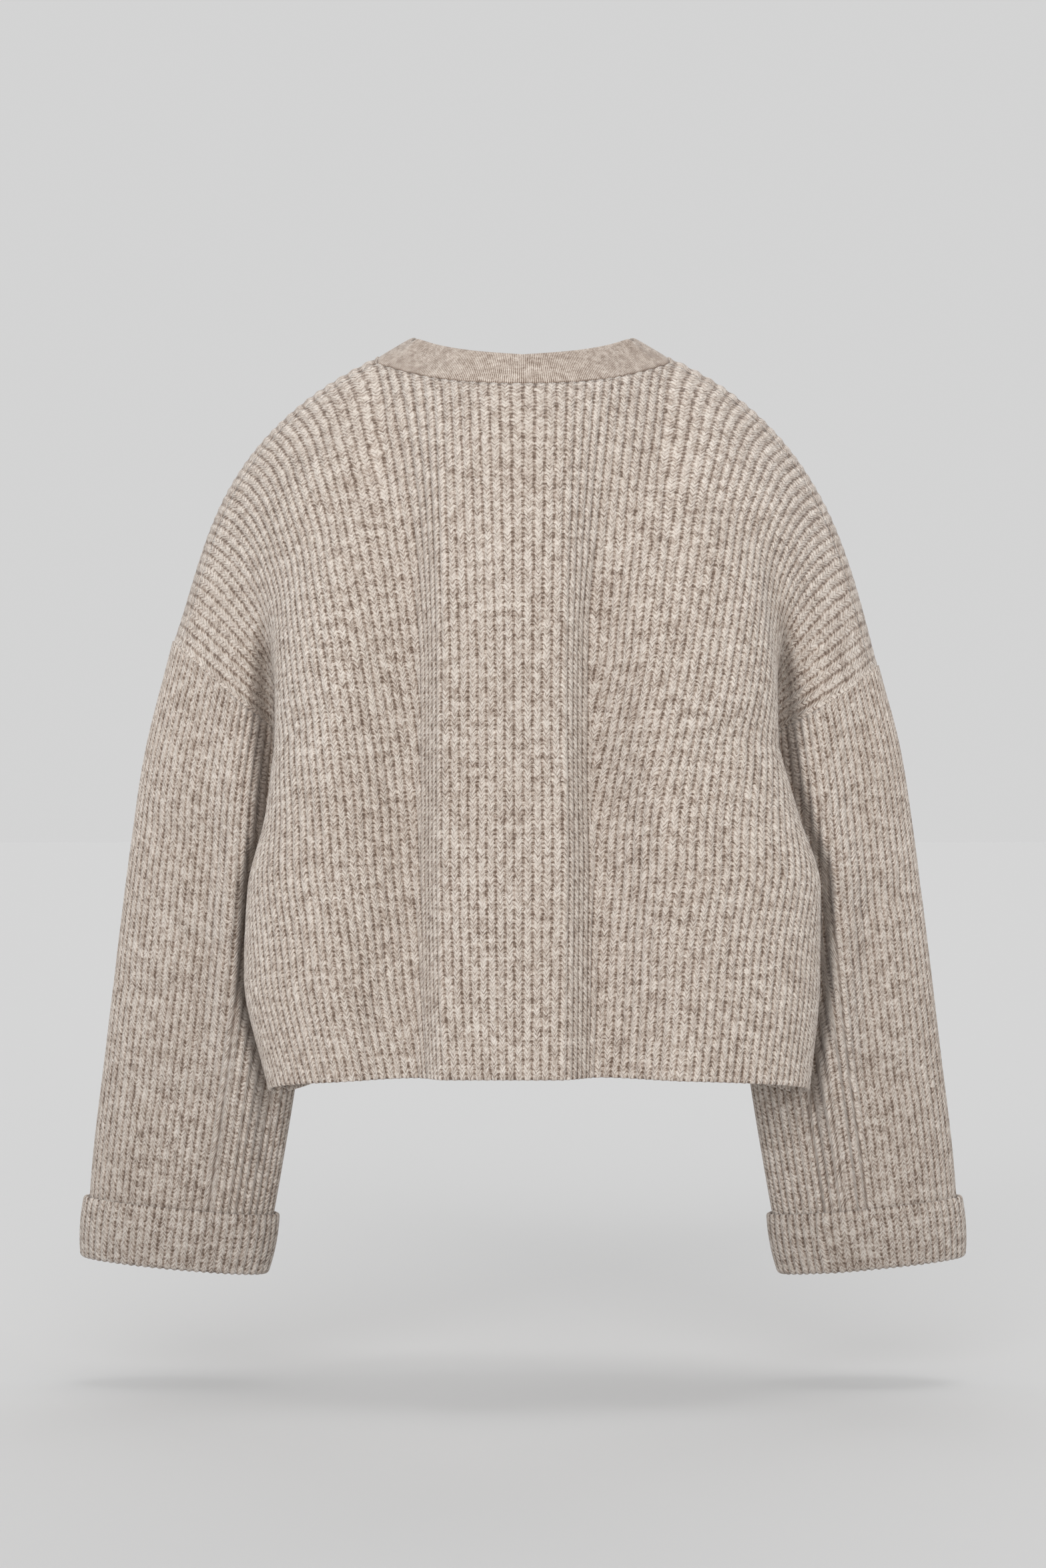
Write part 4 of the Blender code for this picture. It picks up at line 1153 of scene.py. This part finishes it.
@dataclass
class BodyPanels:
    """The back and the two fronts."""

    material: bpy.types.Material
    body_rows: int = 52
    yoke_rows: int = 66
    back_flat: Tuple[float, float] = (0.552, 0.560)
    front_flat: Tuple[float, float] = (0.2605, 0.560)
    front_area: float = 0.130
    crease_low: float = 0.39
    softened: Tuple[Tuple[float, ...], ...] = ((0.6, 0.86, 0.12, 0.13, 0.06), (0.35, 0.48, 0.12, 0.205, 0.03))

    def rises(self) -> Array:
        """Every row's rise, from the hem to the shoulder."""
        body = np.linspace(0.0, UNDERARM, self.body_rows, endpoint=False)
        return np.concatenate([body, np.linspace(UNDERARM, 1.0, self.yoke_rows)])

    def grid(self, wales: Array, row: Callable[[Side, Array, float], Array]) -> Array:
        """Values at every rise and signed wale.

        Args:
            wales: Signed wales.
            row: What gives a side's values at positive wales and one rise.

        Returns:
            The values, rows by wales.
        """
        sides = [(side, (wales < 0.0) == (side is Side.LEFT)) for side in Side]
        return np.array([
            np.concatenate([row(side, np.abs(wales[mine]), rise) for side, mine in sides if mine.any()])
            for rise in self.rises()
        ])

    def shell(self, panel: Panel, wales: Array, creases: Iterable[Crease]) -> Shell:
        """The panel's shell: ribs on both faces, and a round rim at the hem."""
        form = self.grid(wales, lambda side, at, rise: FORMS[side].row(panel, at, rise))
        guide = vector(0.0, -1.0 if panel is Panel.BACK else 1.0, 0.0)
        normal = grid_normals(form, guide)
        v = lengths(form) / COURSE
        flat = np.stack([np.broadcast_to(wales, v.shape), v * COURSE], axis=-1)
        form = dent(form, normal, flat, creases)
        if panel is Panel.BACK:
            open_part = self.rises()[:, None] > self.crease_low
            form[..., 1] += np.where(open_part, CREVICE.shift(form), 0.0)
        normal = grid_normals(form, guide)
        u_left, u = (
            self.grid(wales + step, lambda side, at, rise: side.value * rib_count(side, panel, at, rise))
            for step in (-1e-6, 1e-6)
        )
        rise, away = self.rises()[:, None], np.abs(wales)
        soft = 1.0 - sum(
            share * smooth((rise - start) / rise_span) * smooth((away - near) / wale_span)
            for share, start, rise_span, near, wale_span in self.softened
        )
        return Shell.ribbed(form, normal, v, u, u_left, soft, round_low=3)

    def build(self) -> List[bpy.types.Object]:
        """Make the panels and dress them."""
        count = 2 * RIBS_PER_HALF * COLUMNS_PER_RIB + 1
        wales = np.linspace(-HALF_PANEL, HALF_PANEL, count)
        back = self.shell(Panel.BACK, wales, BACK_CREASES)
        pieces = [add_piece(back.mesh("back_panel"), self.material, "back")]
        for side, form in FORMS.items():
            half = wales[wales > form.front_edge]
            half = side.value * np.concatenate([[form.front_edge], half])
            front = self.shell(Panel.FRONT, half, FRONT_CREASES).mesh(f"front_panel_{side.label}")
            piece = add_piece(front, self.material, f"front_{side.label}")
            pieces.append(piece)
        return pieces


# --- Sleeves and cuffs ---


@dataclass
class Sleeves:
    """Both sleeves and their turned-up cuffs."""

    material: bpy.types.Material
    cuff_material: bpy.types.Material
    rows: int = 92
    end: float = 5.93
    cuff_top: float = 5.44
    cuff_proud: float = 0.0044
    cuff_puff: float = 0.0014
    cuff_rows: int = 12
    cuff_hook: float = 0.006
    cuff_power: float = 0.8
    fold_steps: int = 10
    flat: Tuple[float, float] = (0.345, 0.450)
    area: float = 0.140
    cuff_flat: Tuple[float, float] = (0.350, 0.060)
    crevice_end: float = 0.36
    crevice_fade: float = 0.12
    flat_round: float = 0.34
    flat_step: float = 0.08
    ring_samples: int = 721

    def ring(self, side: Side, ring: SimpleNamespace, shares: Array) -> Array:
        """Points of one ring, from its inner end round the back to its outer end and on."""
        outer = vector(ring.outer_x, ring.y, ring.outer_z)
        inner = vector(ring.inner_x, ring.y, ring.inner_z)
        turn = np.linspace(0.0, 2.0 * math.pi, self.ring_samples)[:, None]
        half = (outer - inner) / 2.0
        depth = vector(0.0, ring.half_depth, 0.0)
        points = (outer + inner) / 2.0 - np.cos(turn) * half - np.sin(turn) * depth
        return along(points, shares) * vector(side.value, 1.0, 1.0)

    def tube(self, side: Side, shares: Array, places: Array) -> Array:
        """Points round the sleeve; a place counts rings, with 0 at the armhole."""
        knots = [along(FORMS[side].armhole_loop(), shares)]
        knots += [self.ring(side, ring, shares) for ring in RINGS.rows]
        rows = []
        for place in places:
            low = min(int(place), len(knots) - 2)
            before = knots[low - 1] if low > 0 else 2.0 * knots[low] - knots[low + 1]
            after = knots[low + 2] if low + 2 < len(knots) else 2.0 * knots[low + 1] - knots[low]
            # Each handle is a sixth of the step between its knot's neighbours, so the curve runs on smoothly.
            leave = knots[low] + (knots[low + 1] - before) / 6.0
            arrive = knots[low + 1] - (after - knots[low]) / 6.0
            t = np.full(len(shares), place - low)
            rows.append(bezier(knots[low], leave, arrive, knots[low + 1], t))
        return np.array(rows)

    def shares(self) -> Array:
        """Even shares round a sleeve, starting at the underarm."""
        count = SLEEVE_RIBS * COLUMNS_PER_RIB
        return np.arange(count) / count

    def dented(self, side: Side, places: Array) -> Tuple[Array, Array]:
        """The sleeve's form with its creases, and its outward directions."""
        form = self.tube(side, self.shares(), places)
        guide = unit(form - form.mean(axis=1, keepdims=True))
        normal = grid_normals(form, guide, tube=True)
        on_back = 1.0 - smooth((self.shares() - self.crevice_end) / self.crevice_fade)
        form[..., 1] += CREVICE.shift(form) * on_back
        round_it, down_it = self.shares()[None, :] * self.flat_round, places[:, None] * self.flat_step
        flat = np.stack(np.broadcast_arrays(round_it, down_it), axis=-1)
        form = dent(form, normal, flat, SLEEVE_CREASES[side])
        return form, grid_normals(form, guide, tube=True)

    def build_sleeve(self, side: Side) -> bpy.types.Object:
        """One sleeve, from the armhole to the fold of its cuff."""
        form, normal = self.dented(side, np.linspace(0.0, self.end, self.rows))
        u = np.tile(np.append(self.shares(), 1.0) * SLEEVE_RIBS, (self.rows, 1))
        shell = Shell.ribbed(form, normal, lengths(form) / COURSE, u, u, 1.0, tube=True)
        sleeve = shell.mesh(f"sleeve_tube_{side.label}")
        piece = add_piece(sleeve, self.material, f"sleeve_{side.label}")
        return piece

    def build_cuff(self, side: Side) -> bpy.types.Object:
        """One cuff: its leg outside the sleeve, the round fold and the short way up inside."""
        shares = self.shares()
        form, normal = self.dented(side, np.linspace(self.cuff_top, len(RINGS.rows), self.cuff_rows))
        ribs = rib_profile(shares * SLEEVE_RIBS)[:, None]
        share = np.linspace(0.0, 1.0, self.cuff_rows)[:, None, None]
        puff = self.cuff_proud + self.cuff_puff * np.sin(math.pi * share) ** self.cuff_power
        leg = form + normal * (puff + RELIEF * ribs)
        backing = form + normal * (puff - WALL)
        down = unit((form[-1] - form[-2]).mean(axis=0))
        middle = (self.cuff_proud - WALL) / 2.0
        core, out = form[-1] + middle * normal[-1], normal[-1]
        radius = self.cuff_proud - middle
        angles = np.linspace(0.0, math.pi, self.fold_steps + 1)[1:]
        turns = [(math.cos(a / 2.0), math.cos(a) * out + math.sin(a) * down) for a in angles]
        fold = [core + (radius + RELIEF * ribs * ease) * way for ease, way in turns]
        lining = [core + (radius - WALL) * way for _, way in turns]
        hook = [-self.cuff_hook * down * k for k in (0.5, 1.0)]
        outer = np.concatenate([leg, fold, [fold[-1] + h for h in hook]])
        inner = np.concatenate([backing, lining, [lining[-1] + h for h in hook]])
        u = np.tile(np.append(shares, 1.0) * SLEEVE_RIBS, (len(outer), 1))
        v = lengths(outer) / COURSE
        shell = Shell(outer, inner, u, u, v, v, np.arange(len(outer)), tube=True, round_low=3, round_high=1)
        cuff = shell.mesh(f"cuff_turn_{side.label}")
        piece = add_piece(cuff, self.cuff_material, f"cuff_{side.label}")
        return piece

    def build(self) -> List[bpy.types.Object]:
        """Make both sleeves and cuffs."""
        return [make(side) for side in Side for make in (self.build_sleeve, self.build_cuff)]


# --- Band and buttons ---


@dataclass
class NeckBand:
    """The fine-knit band up one front edge, round the neck and down the other."""

    material: bpy.types.Material
    width: float = 0.030
    thickness: float = 0.0030
    lift: float = 0.0034
    seam: float = 0.0003
    wale: float = 0.0014
    course: float = 0.0012
    station: float = 0.002
    samples: int = 121
    neckline_samples: int = 241
    crowding: float = 1.6
    smoothing: int = 6
    lift_from: float = 1.2
    lift_span: float = 0.3
    section_points: int = 32
    section_powers: Tuple[float, float] = (0.55, 0.5)
    flat: Tuple[float, float] = (0.030, 1.56)

    def edge(self, side: Side) -> Tuple[Array, Array, Array, Array]:
        """The seam that the band follows on one side, from the hem to the nape.

        Returns:
            Points, ways across, outward directions and lifts.
        """
        form = FORMS[side]
        wale, rises = np.full(1, form.front_edge), np.linspace(0.0, 1.0, self.samples)
        front_edge = np.array([form.row(Panel.FRONT, wale, rise)[0] for rise in rises])
        spread = np.linspace(1.0, 0.0, self.neckline_samples) ** self.crowding
        wales = form.neck_wale - (form.neck_wale - form.front_edge) * spread
        neckline = form.row(Panel.FRONT, wales, 1.0)[1:-1]
        nape = form.row(Panel.BACK, np.linspace(form.neck_wale, 0.0, self.samples), 1.0)
        points, places = [], []
        middle = np.concatenate([front_edge[-1:], neckline, nape[:1]])
        for number, part in enumerate((front_edge, middle, nape)):
            reach = lengths(part)
            even = np.linspace(0.0, 1.0, int(reach[-1] / self.station) + 2)
            points.append(along(part, even)[0 if number == 0 else 1 :])
            places.append((number + even)[0 if number == 0 else 1 :])
        line, place = np.concatenate(points), np.concatenate(places)
        way = BAND_WAYS.at(place)
        across = np.stack([way.across, way.y, way.z], axis=1)
        across[:, 0] *= side.value
        tangent = np.gradient(line, axis=0)
        for _ in range(self.smoothing):
            tangent[1:-1] = (tangent[:-2] + 2.0 * tangent[1:-1] + tangent[2:]) / 4.0
        tangent[-1, 1:] = 0.0
        normal = unit(np.cross(across, tangent) * side.value)
        over = 1.0 - smooth((place - self.lift_from) / self.lift_span)
        lift = self.lift * over if side is Side.RIGHT else np.zeros(len(place))
        return line, unit(across), normal, lift

    def outline(self) -> Array:
        """Half turns of the band's cross-section: share of the width, and share of half the thickness."""
        turn = np.linspace(0.0, 2.0 * math.pi, self.section_points + 1)[:-1] + math.pi
        wide, thick = self.section_powers
        cosine, sine = np.cos(turn), np.sin(turn)
        flat_u = 0.5 + 0.5 * np.sign(cosine) * np.abs(cosine) ** wide
        flat_v = np.sign(-sine) * np.abs(sine) ** thick
        return np.stack([flat_u, flat_v], axis=1)

    def build(self) -> bpy.types.Object:
        """Make the band."""
        halves = []
        for side in (Side.LEFT, Side.RIGHT):
            line, across, normal, lift = self.edge(side)
            start = line + across * self.seam + normal * (lift - WALL / 2.0)[:, None]
            wide, thick = across * self.width, normal * self.thickness / 2.0
            halves.append(np.stack([start + wide * u + thick * v for u, v in self.outline()], axis=1))
        grid = np.concatenate([halves[0], halves[1][-2::-1]])
        rows, columns = grid.shape[:2]
        reach = lengths(grid).mean(axis=1)
        across_at = self.outline()[:, 0] * self.width / self.course
        corner_rows, corner_columns = grid_faces(rows, columns, False, True)
        corner_columns %= columns
        uv = np.stack([(reach / self.wale)[corner_rows], across_at[corner_columns]], axis=-1)
        ends = [list(range(columns)), [(rows - 1) * columns + k for k in range(columns)][::-1]]
        corners = [index for face in ends for index in face]
        end_uv = [(reach[k // columns] / self.wale, across_at[k % columns]) for k in corners]
        uv = np.concatenate([uv.reshape(-1, 2), np.array(end_uv)])
        faces = (corner_rows * columns + corner_columns).tolist() + ends
        mesh = make_mesh("neckband", grid.reshape(-1, 3), faces, uv)
        piece = add_piece(mesh, self.material, "band")
        return piece


@dataclass
class Buttons:
    """Five turned buttons down the upper band."""

    material: bpy.types.Material
    count: int = 5
    steps: int = 48
    profile: Tuple[Tuple[float, float], ...] = (
        (0.0, 0.0026), (0.0045, 0.0026), (0.0062, 0.0028), (0.0070, 0.0033), (0.0078, 0.0037),
        (0.0087, 0.0037), (0.0094, 0.0032), (0.0098, 0.0024), (0.0098, 0.0016), (0.0093, 0.0007),
        (0.0084, 0.0001), (0.0, 0.0),
    )

    def build(self) -> List[bpy.types.Object]:
        """Make each button where its solid is."""
        numbers = range(1, self.count + 1)
        return [self.make(number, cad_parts[f"button_{number}"]) for number in numbers]

    def axis(self, solid: bpy.types.Object) -> Tuple[Array, Array]:
        """The middle of a button's back face and its way out."""
        points = np.array([tuple(v.co) for v in solid.data.vertices])
        centre = points.mean(axis=0)
        _, _, axes = np.linalg.svd(points - centre)
        out = axes[2] * (1.0 if axes[2][1] > 0.0 else -1.0)
        reach = (points - centre) @ out
        return centre + out * reach.min(), out

    def make(self, number: int, solid: bpy.types.Object) -> bpy.types.Object:
        """One button with its rim and dished middle."""
        foot, out = self.axis(solid)
        turn = 2.0 * math.pi * np.arange(self.steps) / self.steps
        rings = [[(r * math.cos(a), r * math.sin(a), h) for a in turn] for r, h in self.profile[1:-1]]
        ends = [(0.0, 0.0, self.profile[k][1]) for k in (0, -1)]
        points = np.concatenate([np.reshape(rings, (-1, 3)), ends])
        corner_rows, corner_columns = grid_faces(len(rings), self.steps, False, True)
        faces = (corner_rows * self.steps + corner_columns % self.steps)[:, ::-1].tolist()
        last = len(points) - self.steps - 2
        for k in range(self.steps):
            after = (k + 1) % self.steps
            faces += [[last + self.steps, k, after], [last + k, last + self.steps + 1, last + after]]
        turn_to = Vector(out).to_track_quat("Z", "Y").to_matrix()
        points = points @ np.array(turn_to).T + foot
        mesh = make_mesh(f"horn_button_{number}", points, faces, None)
        return add_piece(mesh, self.material, f"button_{number}")


# --- Studio ---


@dataclass
class Studio:
    """Pale floor, soft light and the camera."""

    floor_height: float = -0.77
    floor_reach: float = 30.0
    paper: float = 0.648
    ground: float = 0.655
    suns: Tuple[Tuple[str, float, float, float, float], ...] = (
        ("key", 2.3, -5.0, 12.0, 44.0), ("fill", 1.4, 176.0, 14.0, 60.0), ("top", 0.30, 60.0, 84.0, 20.0)
    )
    camera_at: Tuple[float, float, float] = (0.0, -3.18, -0.327)
    lens: float = 100.0
    sensor: float = 36.0
    clip_end: float = 200.0

    def sun(self, name: str, strength: float, azimuth: float, elevation: float, spread: float) -> None:
        """A wide soft lamp far away.

        Args:
            name: Its name.
            strength: Its strength.
            azimuth: Where it stands round the object, 0 behind the camera.
            elevation: Its height above the horizon, in degrees.
            spread: Its width in the sky, in degrees.
        """
        lamp = bpy.data.lights.new(name, "SUN")
        lamp.energy = strength
        lamp.angle = math.radians(spread)
        thing = add_object(name, lamp)
        a, e = math.radians(azimuth), math.radians(elevation)
        back = Vector((math.sin(a) * math.cos(e), -math.cos(a) * math.cos(e), math.sin(e)))
        thing.rotation_mode = "QUATERNION"
        thing.rotation_quaternion = (-back).to_track_quat("-Z", "Y")

    def build(self) -> None:
        """Set the stage, the light and the camera."""
        scene = bpy.context.scene
        scene.view_settings.view_transform = "Standard"
        world = bpy.data.worlds.new("studio")
        world.use_nodes = True
        background = world.node_tree.nodes["Background"]
        background.inputs["Color"].default_value = (*[self.ground] * 3, 1.0)
        background.inputs["Strength"].default_value = 1.0
        scene.world = world
        for lamp in self.suns:
            self.sun(*lamp)
        paper = Shader("pale_paper", Roughness=1.0, Specular_IOR_Level=0.0)
        paper.principled.inputs["Base Color"].default_value = (*[self.paper] * 3, 1.0)
        mesh = bpy.data.meshes.new("floor")
        far = self.floor_reach
        corners = ((-far, -far), (far, -far), (far, far), (-far, far))
        mesh.from_pydata([(x, y, self.floor_height) for x, y in corners], [], [[0, 1, 2, 3]])
        mesh.materials.append(paper.material)
        add_object("floor", mesh)
        camera = bpy.data.cameras.new("camera")
        camera.lens = self.lens
        camera.sensor_width = self.sensor
        camera.clip_end = self.clip_end
        scene.camera = add_object("camera", camera)
        scene.camera.location = self.camera_at
        scene.camera.rotation_euler = (math.pi / 2.0, 0.0, 0.0)


def main() -> None:
    """Build every piece in order."""
    logging.basicConfig(level=logging.INFO, format="%(message)s")
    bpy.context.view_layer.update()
    chunky = KnitFinish("rib_knit_heather").build()
    # The sleeves and cuffs get painted shade, darker towards the bottom.
    sleeve = KnitFinish("rib_knit_sleeve", fade=0.16).build()
    cuff = KnitFinish("rib_knit_cuff", fade=0.24, shade_from=-0.50).build()
    # The fine finish paints shade along the band's seam and deep painted shade in its gaps.
    fine = KnitFinish(
        "fine_knit_heather", light=(0.71, 0.643, 0.577), depth=0.0002, leg_width=0.58,
        rib_light=0.70, groove_light=0.04, marl=1.45, seam_shade=0.5
    ).build()
    horn = HornFinish().build()
    makers = (BodyPanels(chunky), Sleeves(sleeve, cuff), NeckBand(fine), Buttons(horn))
    for maker in makers:
        made = maker.build()
        for piece in made if isinstance(made, list) else [made]:
            log.info("%s: %d faces", piece.name, len(piece.data.polygons))
    Studio().build()


if __name__ == "__main__":
    main()
